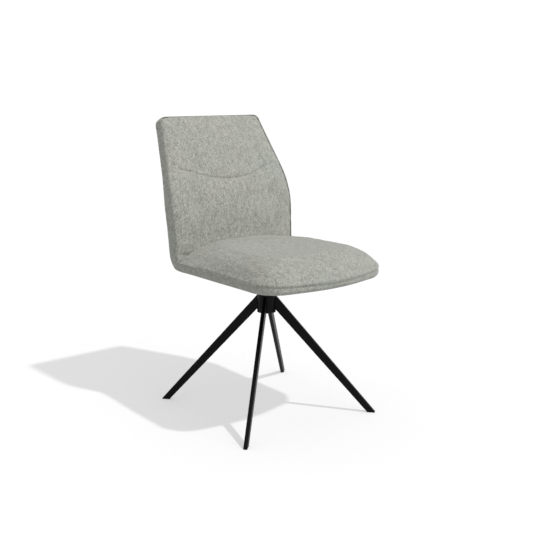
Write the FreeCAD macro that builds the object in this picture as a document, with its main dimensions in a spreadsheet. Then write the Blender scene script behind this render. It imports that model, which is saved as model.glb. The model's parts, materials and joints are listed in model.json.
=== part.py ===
# Swivel dining chair: an upholstered seat and back shell on a hub with four splayed tube legs.
# Frame: millimetres, +Z up, origin on the floor at the swivel axis, the chair faces -Y.
import FreeCAD, Part
import math
import os

import Sketcher

os.makedirs("parts", exist_ok=True)
doc = FreeCAD.newDocument("swivel_dining_chair")
V = FreeCAD.Vector

# Driving dimensions, in millimetres and degrees.
SIZES = {
    # Four welded legs of tapered flat tube.
    "foot_reach": 338.0,
    "foot_length": 26.0,
    "leg_outer_top": 356.0,
    "leg_inner_top": 312.0,
    "leg_width": 12.0,
    "leg_wall": 1.5,
    "leg_edge_radius": 2.5,
    "first_leg_angle": 41.0,
    # Nylon glide plugged into the foot of each leg.
    "glide_sole": 2.0,
    "glide_inset": 0.5,
    "glide_plug_height": 16.0,
    "glide_fin_count": 3,
    "glide_fin_thickness": 2.0,
    "glide_core_share": 0.6,
    "glide_gap": 0.1,
    # Hub tube.
    "hub_diameter": 57.0,
    "hub_wall": 3.0,
    "hub_bottom": 306.5,
    "hub_length": 96.5,
    # Nylon bushes in the two ends of the hub.
    "bush_flange": 3.0,
    "lower_flange": 2.5,
    "bush_sleeve": 24.0,
    "bush_wall": 2.2,
    "bush_core_wall": 3.0,
    "bush_web": 4.0,
    "bush_rib": 1.6,
    "bush_rib_count": 8,
    "bush_rib_share": 0.65,
    "bush_fit_gap": 0.05,
    "running_gap": 0.05,
    "cup_depth": 12.0,
    # Spindle and what keeps it in the hub.
    "spindle_diameter": 25.0,
    "spindle_chamfer": 1.0,
    "collar_diameter": 40.0,
    "collar_height": 12.0,
    "weld_leg": 4.0,
    "lift_play": 0.3,
    "washer_diameter": 38.0,
    "washer_thickness": 1.5,
    "ring_thickness": 1.2,
    "ring_width": 3.2,
    "ring_depth": 0.8,
    "ring_angle": 315.0,
    "spindle_tail": 4.0,
    # Thrust ball bearing between the hub and the spindle's collar.
    "bearing_diameter": 42.0,
    "bearing_height": 11.0,
    "race_thickness": 3.6,
    "race_bore_gap": 1.0,
    "ball_diameter": 6.35,
    "ball_count": 12,
    "ball_circle": 34.0,
    "ball_gap": 0.08,
    "cage_thickness": 2.4,
    "cage_width": 7.2,
    "cage_pocket_gap": 0.15,
    # Cap that closes the bottom of the hub.
    "cap_thickness": 2.0,
    "cap_skirt": 5.0,
    "cap_wall": 1.5,
    # Steel plate under the seat and its screws.
    "plate_side": 150.0,
    "plate_thickness": 4.0,
    "plate_corner": 15.0,
    "plate_hole_spacing": 120.0,
    "plate_screw": 8.0,
    "plate_screw_length": 16.0,
    "plate_washer": 1.6,
    "screw_clearance": 0.6,
    # Plywood seat board and the cloth under it.
    "lining_thickness": 1.0,
    "lining_inset": 8.0,
    "board_thickness": 12.0,
    "board_gap": 2.0,
    "board_edge_gap": 8.0,
    "board_rear": 130.0,
    "nut_flange": 1.5,
    "nut_barrel_wall": 1.1,
    "nut_flange_lap": 6.0,
    "nut_end_gap": 1.0,
    "thread_gap": 0.05,
    "thread_chamfer": 0.6,
    # Upholstered shell, seen from above.
    "seat_half_width": 229.0,
    "seat_corner_front": 282.5,
    "seat_apex_front": 327.5,
    "seat_corner_radius": 90.0,
    "seat_bow_radius": 480.0,
    # Upholstered shell, seen from the side.
    "band_height": 26.0,
    "front_dip_start": 280.0,
    "front_dip_angle": 13.0,
    "front_dip_radius": 250.0,
    "back_front": 144.5,
    "back_low_lean": 3.0,
    "back_high_lean": 28.0,
    "back_bend_height": 193.0,
    "back_bend_radius": 360.0,
    "back_high_length": 263.0,
    "back_low_thickness": 44.0,
    "back_high_thickness": 34.0,
    "rear_bend_radius": 320.0,
    "rear_corner_radius": 55.0,
    "inner_corner_radius": 18.0,
    # Upholstered shell, seen square to the upper back.
    "back_shoulder": 241.0,
    "back_taper": 10.2,
    "back_side_radius": 600.0,
    "back_corner_radius": 22.0,
    # Layers of the shell.
    "band_thickness": 4.0,
    "back_pad_depth": 18.0,
    "back_board_thickness": 9.0,
    "back_board_start": 40.0,
    # Crown of the cushions and the sewn channel across the back.
    "seat_crown": 62.0,
    "seat_rise_power": 1.35,
    "seat_side_power": 7.5,
    "seat_rear_power": 2.2,
    "seat_rear_rise": 52.0,
    "seat_rear_bulge": 0.25,
    "seat_crest_front": 60.0,
    "flank_draw": 6.0,
    "back_crown": 14.0,
    "back_crown_start": 75.0,
    "crown_overlap": 6.0,
    "crown_edge": 1.2,
    "channel_height": 217.0,
    "channel_half_width": 130.0,
    "channel_radius": 315.0,
    "channel_end_radius": 225.0,
    "channel_span": 206.0,
    "channel_width": 3.0,
    "channel_depth": 5.0,
    # Steel brackets that carry the back on the seat board.
    "bracket_width": 40.0,
    "bracket_thickness": 5.0,
    "bracket_bend_radius": 24.0,
    "bracket_spacing": 220.0,
    "bracket_foot_length": 90.0,
    "bracket_height": 120.0,
    "bracket_screw": 6.0,
    "bracket_screw_length": 12.0,
    "bracket_hole_pitch": 45.0,
    "bracket_hole_end": 18.0,
    "pocket_gap": 0.3,
}

# Places and sizes that follow from the driving dimensions.
PLACES = {
    "hub_radius": "Sizes.hub_diameter / 2",
    "hub_bore": "Sizes.hub_diameter / 2 - Sizes.hub_wall",
    "hub_top": "Sizes.hub_bottom + Sizes.hub_length",
    "outer_slope": "(Sizes.leg_outer_top - Sizes.glide_sole) / (Sizes.foot_reach - hub_radius)",
    "inner_slope": "(Sizes.leg_inner_top - Sizes.glide_sole)"
                   " / (Sizes.foot_reach - Sizes.foot_length - hub_radius)",
    "outer_wall_run": "Sizes.leg_wall * sqrt(1 + outer_slope ^ 2) / outer_slope",
    "inner_wall_run": "Sizes.leg_wall * sqrt(1 + inner_slope ^ 2) / inner_slope",
    "bush_outer": "hub_bore - Sizes.bush_fit_gap",
    "bush_bore": "Sizes.spindle_diameter / 2 + Sizes.running_gap",
    "race_floor": "hub_top + Sizes.bush_flange",
    "ball_height": "race_floor + Sizes.bearing_height / 2",
    "bearing_top": "race_floor + Sizes.bearing_height",
    "plate_bottom": "bearing_top + Sizes.collar_height",
    "plate_top": "plate_bottom + Sizes.plate_thickness",
    "board_bottom": "plate_top + Sizes.lining_thickness",
    "board_top": "board_bottom + Sizes.board_thickness",
    "cup_roof": "Sizes.hub_bottom + Sizes.cup_depth",
    "washer_top": "cup_roof - Sizes.lift_play",
    "ring_top": "washer_top - Sizes.washer_thickness",
    "ring_bottom": "ring_top - Sizes.ring_thickness",
    "spindle_end": "ring_bottom - Sizes.spindle_tail",
    "cap_bottom": "Sizes.hub_bottom - Sizes.lower_flange",
    "cap_radius": "bush_outer - Sizes.bush_wall - Sizes.bush_fit_gap",
    "seam_height": "board_bottom + Sizes.band_height",
    "bend_height": "seam_height + Sizes.back_bend_height",
    "bend_y": "Sizes.back_front + Sizes.back_bend_height * tan(Sizes.back_low_lean)",
    "top_y": "bend_y + Sizes.back_high_length * sin(Sizes.back_high_lean)",
    "top_height": "bend_height + Sizes.back_high_length * cos(Sizes.back_high_lean)",
    "rear_low_y": "Sizes.back_front + Sizes.back_low_thickness / cos(Sizes.back_low_lean)",
    "rear_high_y": "bend_y + Sizes.back_high_thickness / cos(Sizes.back_high_lean)",
    "top_level": "top_y * sin(Sizes.back_high_lean) + top_height * cos(Sizes.back_high_lean)",
    "shoulder_level": "top_level - Sizes.back_shoulder",
    "plate_screw_reach": "Sizes.plate_hole_spacing / 2",
    "bracket_x": "Sizes.bracket_spacing / 2",
}

sizes = doc.addObject("Spreadsheet::Sheet", "Sizes")
for row, (alias, number) in enumerate(SIZES.items(), start=1):
    sizes.set(f"A{row}", alias)
    sizes.set(f"B{row}", str(number))
    sizes.setAlias(f"B{row}", alias)
places = doc.addObject("Spreadsheet::Sheet", "Places")
for row, (alias, formula) in enumerate(PLACES.items(), start=1):
    places.set(f"A{row}", alias)
    places.set(f"B{row}", f"={formula}")
    places.setAlias(f"B{row}", alias)
doc.recompute()


def size(alias):
    """A driving dimension as a number."""
    return float(sizes.get(alias))


def place(alias):
    """A derived dimension as a number."""
    return float(places.get(alias))


def value(expression):
    """An expression of the two sheets as a number."""
    result = sizes.evalExpression(str(expression))
    return float(getattr(result, "Value", result))


# Sketch helpers.
def new_body(label):
    body = doc.addObject("PartDesign::Body", label)
    body.Label = label
    return body


def origin_plane(body, role):
    return [part for part in body.Origin.OriginFeatures if part.Role == role][0]


def sketch_on(body, name, role, offset=None):
    """An empty sketch on an origin plane, lifted off it along its normal by an expression."""
    sketch = body.newObject("Sketcher::SketchObject", name)
    sketch.AttachmentSupport = [(origin_plane(body, role), "")]
    sketch.MapMode = "FlatFace"
    if offset is not None:
        sketch.setExpression("AttachmentOffset.Base.z", offset)
    return sketch


def pin_point(sketch, geometry, vertex, x, y):
    """Tie a vertex to the sketch's origin by two expressions."""
    for kind, axis, expression in (("DistanceX", -2, x), ("DistanceY", -1, y)):
        number = value(expression)
        if abs(number) < 1e-9:
            sketch.addConstraint(Sketcher.Constraint("PointOnObject", geometry, vertex, axis))
            continue
        ends = (-1, 1, geometry, vertex) if number > 0 else (geometry, vertex, -1, 1)
        index = sketch.addConstraint(Sketcher.Constraint(kind, *ends, abs(number)))
        sign = "" if number > 0 else "-"
        sketch.setExpression(f"Constraints[{index}]", f"{sign}({expression})")


def add_polygon(sketch, points):
    """A closed polygon whose corners are (x, y) expressions."""
    spots = [V(value(x), value(y), 0) for x, y in points]
    first = sketch.GeometryCount
    count = len(points)
    for i in range(count):
        sketch.addGeometry(Part.LineSegment(spots[i], spots[(i + 1) % count]), False)
    for i in range(count):
        sketch.addConstraint(
            Sketcher.Constraint("Coincident", first + i, 2, first + (i + 1) % count, 1))
    for i, (x, y) in enumerate(points):
        pin_point(sketch, first + i, 1, x, y)


def add_circle(sketch, x, y, radius):
    circle = sketch.addGeometry(Part.Circle(V(value(x), value(y), 0), V(0, 0, 1), value(radius)), False)
    pin_point(sketch, circle, 3, x, y)
    index = sketch.addConstraint(Sketcher.Constraint("Radius", circle, value(radius)))
    sketch.setExpression(f"Constraints[{index}]", radius)


def corner_arc(before, corner, after, radius):
    """The two tangent points and the middle of the arc that rounds a corner."""
    back = (before - corner).normalize()
    ahead = (after - corner).normalize()
    half = back.getAngle(ahead) / 2
    reach = radius / math.tan(half)
    bisector = (back + ahead).normalize()
    centre = corner + bisector * (radius / math.sin(half))
    return corner + back * reach, corner + ahead * reach, centre - bisector * radius, centre


def add_rounded(sketch, corners):
    """A closed outline whose corners are (x, y, radius) expressions; radius None stays sharp."""
    spots = [V(value(x), value(y), 0) for x, y, _ in corners]
    count = len(corners)
    arcs = {}
    for i, (_, _, radius) in enumerate(corners):
        if radius is not None:
            arcs[i] = corner_arc(spots[i - 1], spots[i], spots[(i + 1) % count], value(radius))
    lines = []
    for i in range(count):
        j = (i + 1) % count
        start = arcs[i][1] if i in arcs else spots[i]
        end = arcs[j][0] if j in arcs else spots[j]
        lines.append(sketch.addGeometry(Part.LineSegment(start, end), False))
    for i, (x, y, radius) in enumerate(corners):
        into, out_of = lines[i - 1], lines[i]
        if i not in arcs:
            sketch.addConstraint(Sketcher.Constraint("Coincident", into, 2, out_of, 1))
            pin_point(sketch, out_of, 1, x, y)
            continue
        start, end, middle, centre = arcs[i]
        turn = (spots[i] - spots[i - 1]).cross(spots[(i + 1) % count] - spots[i]).z
        arc = sketch.addGeometry(Part.Arc(start, middle, end), False)
        first, last = (1, 2) if turn > 0 else (2, 1)
        sketch.addConstraint(Sketcher.Constraint("Tangent", into, 2, arc, first))
        sketch.addConstraint(Sketcher.Constraint("Tangent", arc, last, out_of, 1))
        index = sketch.addConstraint(Sketcher.Constraint("Radius", arc, value(radius)))
        sketch.setExpression(f"Constraints[{index}]", radius)
        peak = sketch.addGeometry(Part.Point(spots[i]), True)
        pin_point(sketch, peak, 1, x, y)
        sketch.addConstraint(Sketcher.Constraint("PointOnObject", peak, 1, into))
        sketch.addConstraint(Sketcher.Constraint("PointOnObject", peak, 1, out_of))


# Feature helpers.
def pad(body, name, sketch, length, both_ways=False):
    feature = body.newObject("PartDesign::Pad", name)
    feature.Profile = sketch
    feature.setExpression("Length", length)
    if both_ways:
        feature.SideType = "Symmetric"
    return feature


def pocket_through(body, name, sketch):
    feature = body.newObject("PartDesign::Pocket", name)
    feature.Profile = sketch
    feature.Type = "ThroughAll"
    feature.SideType = "Symmetric"
    return feature


def polar(body, name, features, count):
    pattern = body.newObject("PartDesign::PolarPattern", name)
    pattern.Originals = features
    pattern.Axis = (origin_line(body, "Z_Axis"), [""])
    pattern.Angle = 360
    pattern.setExpression("Occurrences", count)
    body.Tip = pattern
    return pattern


def origin_line(body, role):
    return [part for part in body.Origin.OriginFeatures if part.Role == role][0]


def turned(label, points, angle=None):
    """A body of revolution about Z from a closed (radius, height) polygon of expressions."""
    body = new_body(label)
    sketch = sketch_on(body, f"{label}_profile", "XZ_Plane")
    add_polygon(sketch, points)
    feature = body.newObject("PartDesign::Revolution", f"{label}_turn")
    feature.Profile = sketch
    feature.ReferenceAxis = (sketch, ["V_Axis"])
    if angle is None:
        feature.Angle = 360
    else:
        feature.setExpression("Angle", angle)
    return body


def boolean(kind, label, base, tool):
    result = doc.addObject(kind, label)
    result.Base = base
    result.Tool = tool
    return result


def shape_part(label, shape):
    """A node whose shape comes straight from the geometry kernel."""
    feature = doc.addObject("Part::Feature", label)
    feature.Label = label
    feature.Shape = shape
    return feature


nodes = []


def keep(*objects):
    nodes.extend(objects)


# Base: hub tube, legs and glides.
def make_hub_tube():
    return turned("hub_tube", [
        ("Places.hub_bore", "Sizes.hub_bottom"),
        ("Places.hub_radius", "Sizes.hub_bottom"),
        ("Places.hub_radius", "Places.hub_top"),
        ("Places.hub_bore", "Places.hub_top"),
    ])


def make_leg(label, angle):
    """A tapered flat tube, hollow, cut level at the foot and coped to the hub."""
    lap = "Sizes.hub_wall / 2"
    body = new_body(label)
    outline = sketch_on(body, f"{label}_outline", "XZ_Plane")
    add_polygon(outline, [
        ("Sizes.foot_reach", "Sizes.glide_sole"),
        (f"Places.hub_radius - {lap}", f"Sizes.leg_outer_top + {lap} * Places.outer_slope"),
        (f"Places.hub_radius - {lap}", f"Sizes.leg_inner_top + {lap} * Places.inner_slope"),
        ("Sizes.foot_reach - Sizes.foot_length", "Sizes.glide_sole"),
    ])
    bar = pad(body, f"{label}_bar", outline, "Sizes.leg_width", both_ways=True)
    doc.recompute()
    long_edges = []
    for number, edge in enumerate(bar.Shape.Edges, start=1):
        run = edge.Vertexes[-1].Point - edge.Vertexes[0].Point
        if edge.Length > size("foot_reach") / 2 and abs(run.z) > abs(run.y):
            long_edges.append(f"Edge{number}")
    rounded = body.newObject("PartDesign::Fillet", f"{label}_edges")
    rounded.Base = (bar, long_edges)
    rounded.setExpression("Radius", "min(Sizes.leg_edge_radius; Sizes.leg_width * 0.4)")
    bore = sketch_on(body, f"{label}_bore", "XZ_Plane")
    below = "Sizes.leg_width"
    add_polygon(bore, [
        (f"Sizes.foot_reach + (Sizes.glide_sole + {below}) / Places.outer_slope - Places.outer_wall_run",
         f"-{below}"),
        (f"Places.hub_radius - 2 * {lap}",
         "Sizes.glide_sole + (Sizes.foot_reach - Places.outer_wall_run"
         f" - Places.hub_radius + 2 * {lap}) * Places.outer_slope"),
        (f"Places.hub_radius - 2 * {lap}",
         "Sizes.glide_sole + (Sizes.foot_reach - Sizes.foot_length + Places.inner_wall_run"
         f" - Places.hub_radius + 2 * {lap}) * Places.inner_slope"),
        ("Sizes.foot_reach - Sizes.foot_length + Places.inner_wall_run"
         f" + (Sizes.glide_sole + {below}) / Places.inner_slope", f"-{below}"),
    ])
    hollow = body.newObject("PartDesign::Pocket", f"{label}_hollow")
    hollow.Profile = bore
    hollow.SideType = "Symmetric"
    hollow.setExpression("Length", "Sizes.leg_width - 2 * Sizes.leg_wall")
    cope = sketch_on(body, f"{label}_cope", "XY_Plane")
    add_circle(cope, "0", "0", "Places.hub_radius")
    pocket_through(body, f"{label}_saddle", cope)
    body.Placement.Rotation = FreeCAD.Rotation(V(0, 0, 1), angle)
    return body


def make_glide(label, angle):
    """A sole under the foot with a finned plug that follows the slope of the tube."""
    body = new_body(label)
    half_width = "(Sizes.leg_width / 2 - Sizes.glide_inset)"
    sole = sketch_on(body, f"{label}_sole_outline", "XY_Plane")
    toe = "Sizes.foot_reach - Sizes.glide_inset"
    heel = "Sizes.foot_reach - Sizes.foot_length + Sizes.glide_inset"
    radius = "min(Sizes.leg_edge_radius; Sizes.leg_width * 0.4) - Sizes.glide_inset"
    add_rounded(sole, [
        (toe, f"-{half_width}", radius),
        (toe, half_width, radius),
        (heel, half_width, radius),
        (heel, f"-{half_width}", radius),
    ])
    pad(body, f"{label}_sole", sole, "Sizes.glide_sole")

    def cross(low, high, inset):
        """A slice of the tube's bore between two heights, drawn in by an inset."""
        points = []
        for height in (low, high):
            points.append((f"Sizes.foot_reach - Places.outer_wall_run - {inset}"
                           f" - ({height} - Sizes.glide_sole) / Places.outer_slope", height))
        for height in (high, low):
            points.append((f"Sizes.foot_reach - Sizes.foot_length + Places.inner_wall_run + {inset}"
                           f" - ({height} - Sizes.glide_sole) / Places.inner_slope", height))
        return points

    core = sketch_on(body, f"{label}_core_outline", "XZ_Plane")
    top = "Sizes.glide_sole + Sizes.glide_plug_height"
    add_polygon(core, cross("Sizes.glide_sole", top, "(Sizes.foot_length * (1 - Sizes.glide_core_share) / 2)"))
    bore_width = "(Sizes.leg_width - 2 * Sizes.leg_wall - 2 * Sizes.glide_gap)"
    pad(body, f"{label}_core", core, f"{bore_width} * Sizes.glide_core_share", both_ways=True)
    fins = sketch_on(body, f"{label}_fin_outline", "XZ_Plane")
    fin_count = int(size("glide_fin_count"))
    for fin in range(fin_count):
        low = f"(Sizes.glide_sole + Sizes.glide_plug_height * {fin + 1} / {fin_count} - Sizes.glide_fin_thickness)"
        add_polygon(fins, cross(low, f"({low} + Sizes.glide_fin_thickness)", "2 * Sizes.glide_gap"))
    pad(body, f"{label}_fins", fins, bore_width, both_ways=True)
    body.Placement.Rotation = FreeCAD.Rotation(V(0, 0, 1), angle)
    return body


def make_base():
    keep(make_hub_tube())
    turns = {"rear_right": 0, "rear_left": 1, "front_left": 2, "front_right": 3}
    for corner, quarter in turns.items():
        angle = size("first_leg_angle") + 90 * quarter
        keep(make_leg(f"leg_{corner}", angle), make_glide(f"glide_{corner}", angle))


# Swivel unit: bushes, bearing, spindle and what retains it.
def add_ribs(body, floor, height):
    """Radial ribs between the two sleeves of a bush."""
    sketch = sketch_on(body, f"{body.Label}_rib_outline", "XY_Plane", floor)
    near = "Places.bush_bore + Sizes.bush_core_wall / 2"
    far = "Places.bush_outer - Sizes.bush_wall / 2"
    add_polygon(sketch, [
        (near, "-Sizes.bush_rib / 2"),
        (far, "-Sizes.bush_rib / 2"),
        (far, "Sizes.bush_rib / 2"),
        (near, "Sizes.bush_rib / 2"),
    ])
    rib = pad(body, f"{body.Label}_rib", sketch, height)
    polar(body, f"{body.Label}_ribs", [rib], "Sizes.bush_rib_count")


def make_bushes():
    core = "Places.bush_bore + Sizes.bush_core_wall"
    shell = "Places.bush_outer - Sizes.bush_wall"
    web = "Places.race_floor - Sizes.bush_web"
    foot = "Places.hub_top - Sizes.bush_sleeve"
    upper = turned("upper_bush", [
        ("Places.bush_bore", "Places.race_floor"),
        ("Places.hub_radius", "Places.race_floor"),
        ("Places.hub_radius", "Places.hub_top"),
        ("Places.bush_outer", "Places.hub_top"),
        ("Places.bush_outer", foot),
        (shell, foot),
        (shell, web),
        (core, web),
        (core, foot),
        ("Places.bush_bore", foot),
    ])
    rib_height = "Sizes.bush_sleeve * Sizes.bush_rib_share"
    add_ribs(upper, f"{web} - {rib_height}", rib_height)
    top = "Places.cup_roof + Sizes.bush_sleeve"
    floor = "Places.cup_roof + Sizes.bush_web"
    lower = turned("lower_bush", [
        ("Places.bush_bore", top),
        ("Places.bush_bore", "Places.cup_roof"),
        (shell, "Places.cup_roof"),
        (shell, "Places.cap_bottom"),
        ("Places.hub_radius", "Places.cap_bottom"),
        ("Places.hub_radius", "Sizes.hub_bottom"),
        ("Places.bush_outer", "Sizes.hub_bottom"),
        ("Places.bush_outer", top),
        (shell, top),
        (shell, floor),
        (core, floor),
        (core, top),
    ])
    add_ribs(lower, floor, rib_height)
    keep(upper, lower)


def make_race(label, low, high, bore):
    """A bearing washer with a round groove for the balls."""
    body = turned(label, [
        (bore, low),
        ("Sizes.bearing_diameter / 2", low),
        ("Sizes.bearing_diameter / 2", high),
        (bore, high),
    ])
    sketch = sketch_on(body, f"{label}_groove_outline", "XZ_Plane")
    add_circle(sketch, "Sizes.ball_circle / 2", "Places.ball_height", "Sizes.ball_diameter / 2 + Sizes.ball_gap")
    groove = body.newObject("PartDesign::Groove", f"{label}_groove")
    groove.Profile = sketch
    groove.ReferenceAxis = (sketch, ["V_Axis"])
    groove.Angle = 360
    return body


def make_bearing():
    lower = make_race("bearing_lower_race", "Places.race_floor", "Places.race_floor + Sizes.race_thickness",
                      "Sizes.spindle_diameter / 2 + Sizes.race_bore_gap")
    upper = make_race("bearing_upper_race", "Places.bearing_top - Sizes.race_thickness",
                      "Places.bearing_top", "Sizes.spindle_diameter / 2")
    inside = "Sizes.ball_circle / 2 - Sizes.cage_width / 2"
    outside = "Sizes.ball_circle / 2 + Sizes.cage_width / 2"
    low = "Places.ball_height - Sizes.cage_thickness / 2"
    high = "Places.ball_height + Sizes.cage_thickness / 2"
    cage = turned("bearing_cage", [(inside, low), (outside, low), (outside, high), (inside, high)])
    hole = sketch_on(cage, "bearing_cage_pocket_outline", "XY_Plane")
    add_circle(hole, "Sizes.ball_circle / 2", "0", "Sizes.ball_diameter / 2 + Sizes.cage_pocket_gap")
    pocket = pocket_through(cage, "bearing_cage_pocket", hole)
    polar(cage, "bearing_cage_pockets", [pocket], "Sizes.ball_count")
    balls = doc.addObject("Part::Compound", "bearing_balls")
    links = []
    count = int(size("ball_count"))
    for number in range(count):
        ball = doc.addObject("Part::Sphere", f"ball_{number + 1}")
        ball.setExpression("Radius", "Sizes.ball_diameter / 2")
        ball.setExpression("Placement.Base.x", f"Sizes.ball_circle / 2 * cos(360 * {number} / {count})")
        ball.setExpression("Placement.Base.y", f"Sizes.ball_circle / 2 * sin(360 * {number} / {count})")
        ball.setExpression("Placement.Base.z", "Places.ball_height")
        links.append(ball)
    balls.Links = links
    keep(lower, upper, cage, balls)


def make_spindle():
    shaft = "Sizes.spindle_diameter / 2"
    neck = "Sizes.spindle_diameter / 2 - Sizes.ring_depth"
    collar = "Sizes.collar_diameter / 2"
    keep(turned("spindle", [
        ("0", "Places.spindle_end"),
        (f"{shaft} - Sizes.spindle_chamfer", "Places.spindle_end"),
        (shaft, "Places.spindle_end + Sizes.spindle_chamfer"),
        (shaft, "Places.ring_bottom"),
        (neck, "Places.ring_bottom"),
        (neck, "Places.ring_top"),
        (shaft, "Places.ring_top"),
        (shaft, "Places.bearing_top"),
        (collar, "Places.bearing_top"),
        (collar, "Places.plate_bottom - Sizes.weld_leg"),
        (f"{collar} + Sizes.weld_leg", "Places.plate_bottom"),
        (shaft, "Places.plate_bottom"),
        (shaft, "Places.plate_top"),
        ("0", "Places.plate_top"),
    ]))
    keep(turned("retaining_washer", [
        (shaft, "Places.ring_top"),
        ("Sizes.washer_diameter / 2", "Places.ring_top"),
        ("Sizes.washer_diameter / 2", "Places.washer_top"),
        (shaft, "Places.washer_top"),
    ]))
    keep(turned("retaining_ring", [
        (neck, "Places.ring_bottom"),
        (f"{neck} + Sizes.ring_width", "Places.ring_bottom"),
        (f"{neck} + Sizes.ring_width", "Places.ring_top"),
        (neck, "Places.ring_top"),
    ], "Sizes.ring_angle"))
    skirt = "Places.cap_radius - Sizes.cap_wall"
    keep(turned("hub_cap", [
        ("0", "Places.cap_bottom"),
        ("Places.cap_radius", "Places.cap_bottom"),
        ("Places.cap_radius", "Places.cap_bottom + Sizes.cap_skirt"),
        (skirt, "Places.cap_bottom + Sizes.cap_skirt"),
        (skirt, "Places.cap_bottom + Sizes.cap_thickness"),
        ("0", "Places.cap_bottom + Sizes.cap_thickness"),
    ]))


# Outlines that the whole upholstered shell shares.
def plan_corners(inset, rear):
    """The seat seen from above, drawn in by an inset."""
    side = f"(Sizes.seat_half_width - {inset})"
    front = f"-(Sizes.seat_corner_front - {inset})"
    apex = f"-(Sizes.seat_apex_front - {inset})"
    corner = f"(Sizes.seat_corner_radius - {inset})"
    return [
        (side, rear, None),
        (f"-{side}", rear, None),
        (f"-{side}", front, corner),
        ("0", apex, "Sizes.seat_bow_radius"),
        (side, front, corner),
    ]


def plan_block(label, inset):
    """The plan outline as a block that reaches over the whole height of the shell."""
    body = new_body(label)
    sketch = sketch_on(body, f"{label}_outline", "XY_Plane")
    add_rounded(sketch, plan_corners(inset, "Places.top_y + 2 * Sizes.back_high_thickness"))
    pad(body, f"{label}_pad", sketch, "2 * Places.top_height")
    return body


def back_block(label, inset):
    """The outline square to the upper back as a block that runs right through the shell."""
    body = new_body(label)
    sketch = sketch_on(body, f"{label}_outline", "XZ_Plane")
    side = f"(Sizes.seat_half_width - {inset})"
    top = f"(Places.top_level - {inset})"
    tip = f"({side} - Sizes.back_shoulder * tan(Sizes.back_taper))"
    corner = f"(Sizes.back_corner_radius - {inset})"
    add_rounded(sketch, [
        (side, "0", None),
        (side, "Places.shoulder_level", "Sizes.back_side_radius"),
        (tip, top, corner),
        (f"-{tip}", top, corner),
        (f"-{side}", "Places.shoulder_level", "Sizes.back_side_radius"),
        (f"-{side}", "0", None),
    ])
    pad(body, f"{label}_pad", sketch, "2 * Places.top_height", both_ways=True)
    body.Placement.Rotation = FreeCAD.Rotation(V(1, 0, 0), -size("back_high_lean"))
    return body


def rear_bend(depth_low, depth_high):
    """Where the low and high lines of a layer cross, behind the front line by two depths."""
    low = f"(Sizes.back_front + {depth_low} / cos(Sizes.back_low_lean))"
    high = f"(Places.bend_y + {depth_high} / cos(Sizes.back_high_lean))"
    rise = (f"(({low} - {high} + Sizes.back_bend_height * tan(Sizes.back_high_lean))"
            " / (tan(Sizes.back_high_lean) - tan(Sizes.back_low_lean)))")
    return f"({low} + {rise} * tan(Sizes.back_low_lean))", f"(Places.seam_height + {rise})"


def behind_top(depth):
    """A point of the top edge, behind the front line by a depth."""
    return (f"Places.top_y + {depth} * cos(Sizes.back_high_lean)",
            f"Places.top_height - {depth} * sin(Sizes.back_high_lean)")


def behind_low(depth, height):
    """A point of the low back at a height, behind the front line by a depth."""
    return (f"Sizes.back_front + {depth} / cos(Sizes.back_low_lean)"
            f" + ({height} - Places.seam_height) * tan(Sizes.back_low_lean)", height)


def side_prism(label, corners):
    """A side view drawn in the YZ plane and run across the whole width."""
    body = new_body(label)
    sketch = sketch_on(body, f"{label}_outline", "YZ_Plane")
    add_rounded(sketch, corners)
    pad(body, f"{label}_pad", sketch, "3 * Sizes.seat_half_width", both_ways=True)
    return body


def shell_corners():
    ahead = "(Sizes.seat_apex_front + Sizes.band_thickness)"
    dip = f"({ahead} - Sizes.front_dip_start) * tan(Sizes.front_dip_angle)"
    bend = rear_bend("Sizes.back_low_thickness", "Sizes.back_high_thickness")
    return [
        (f"-{ahead}", "Places.board_bottom", None),
        (*behind_low("Sizes.back_low_thickness", "Places.board_bottom"), "Sizes.rear_corner_radius"),
        (*bend, "Sizes.rear_bend_radius"),
        (*behind_top("Sizes.back_high_thickness"), None),
        ("Places.top_y", "Places.top_height", None),
        ("Places.bend_y", "Places.bend_height", "Sizes.back_bend_radius"),
        ("Sizes.back_front", "Places.seam_height", "Sizes.inner_corner_radius"),
        ("-Sizes.front_dip_start", "Places.seam_height", "Sizes.front_dip_radius"),
        (f"-{ahead}", f"Places.seam_height - {dip}", None),
    ]


def layer_corners(near, far, start):
    """A layer of the back between two depths, from a height to the top."""
    return [
        (*behind_low(far, start), None),
        (*rear_bend(far, far), f"Sizes.back_bend_radius - {far}"),
        (*behind_top(far), None),
        (*behind_top(near), None),
        (*rear_bend(near, near), f"Sizes.back_bend_radius - {near}"),
        (*behind_low(near, start), None),
    ]


def panel_corners():
    """The padded rear of the back: behind the back board, under its lower edge and behind the seat board."""
    low = "Sizes.back_low_thickness"
    near = "Sizes.back_pad_depth"
    far = "(Sizes.back_pad_depth + Sizes.back_board_thickness)"
    step = "(Places.board_top + Sizes.back_board_start)"
    start = "(Sizes.board_rear + Sizes.board_gap)"
    return [
        (start, "Places.board_bottom", None),
        (*behind_low(low, "Places.board_bottom"), "Sizes.rear_corner_radius"),
        (*rear_bend(low, "Sizes.back_high_thickness"), "Sizes.rear_bend_radius"),
        (*behind_top("Sizes.back_high_thickness"), None),
        (*behind_top(far), None),
        (*rear_bend(far, far), f"Sizes.back_bend_radius - {far}"),
        (*behind_low(far, step), None),
        (*behind_low(near, step), None),
        (*behind_low(near, "Places.board_top"), None),
        (start, "Places.board_top", None),
    ]


# Seat plate, board, lining and their fasteners.
def square_holes(body, name, radius):
    """Four holes on the plate's square, as one pocket patterned about the axis."""
    sketch = sketch_on(body, f"{name}_outline", "XY_Plane")
    add_circle(sketch, "Places.plate_screw_reach", "Places.plate_screw_reach", radius)
    hole = pocket_through(body, name, sketch)
    polar(body, f"{name}s", [hole], "4")


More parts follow.
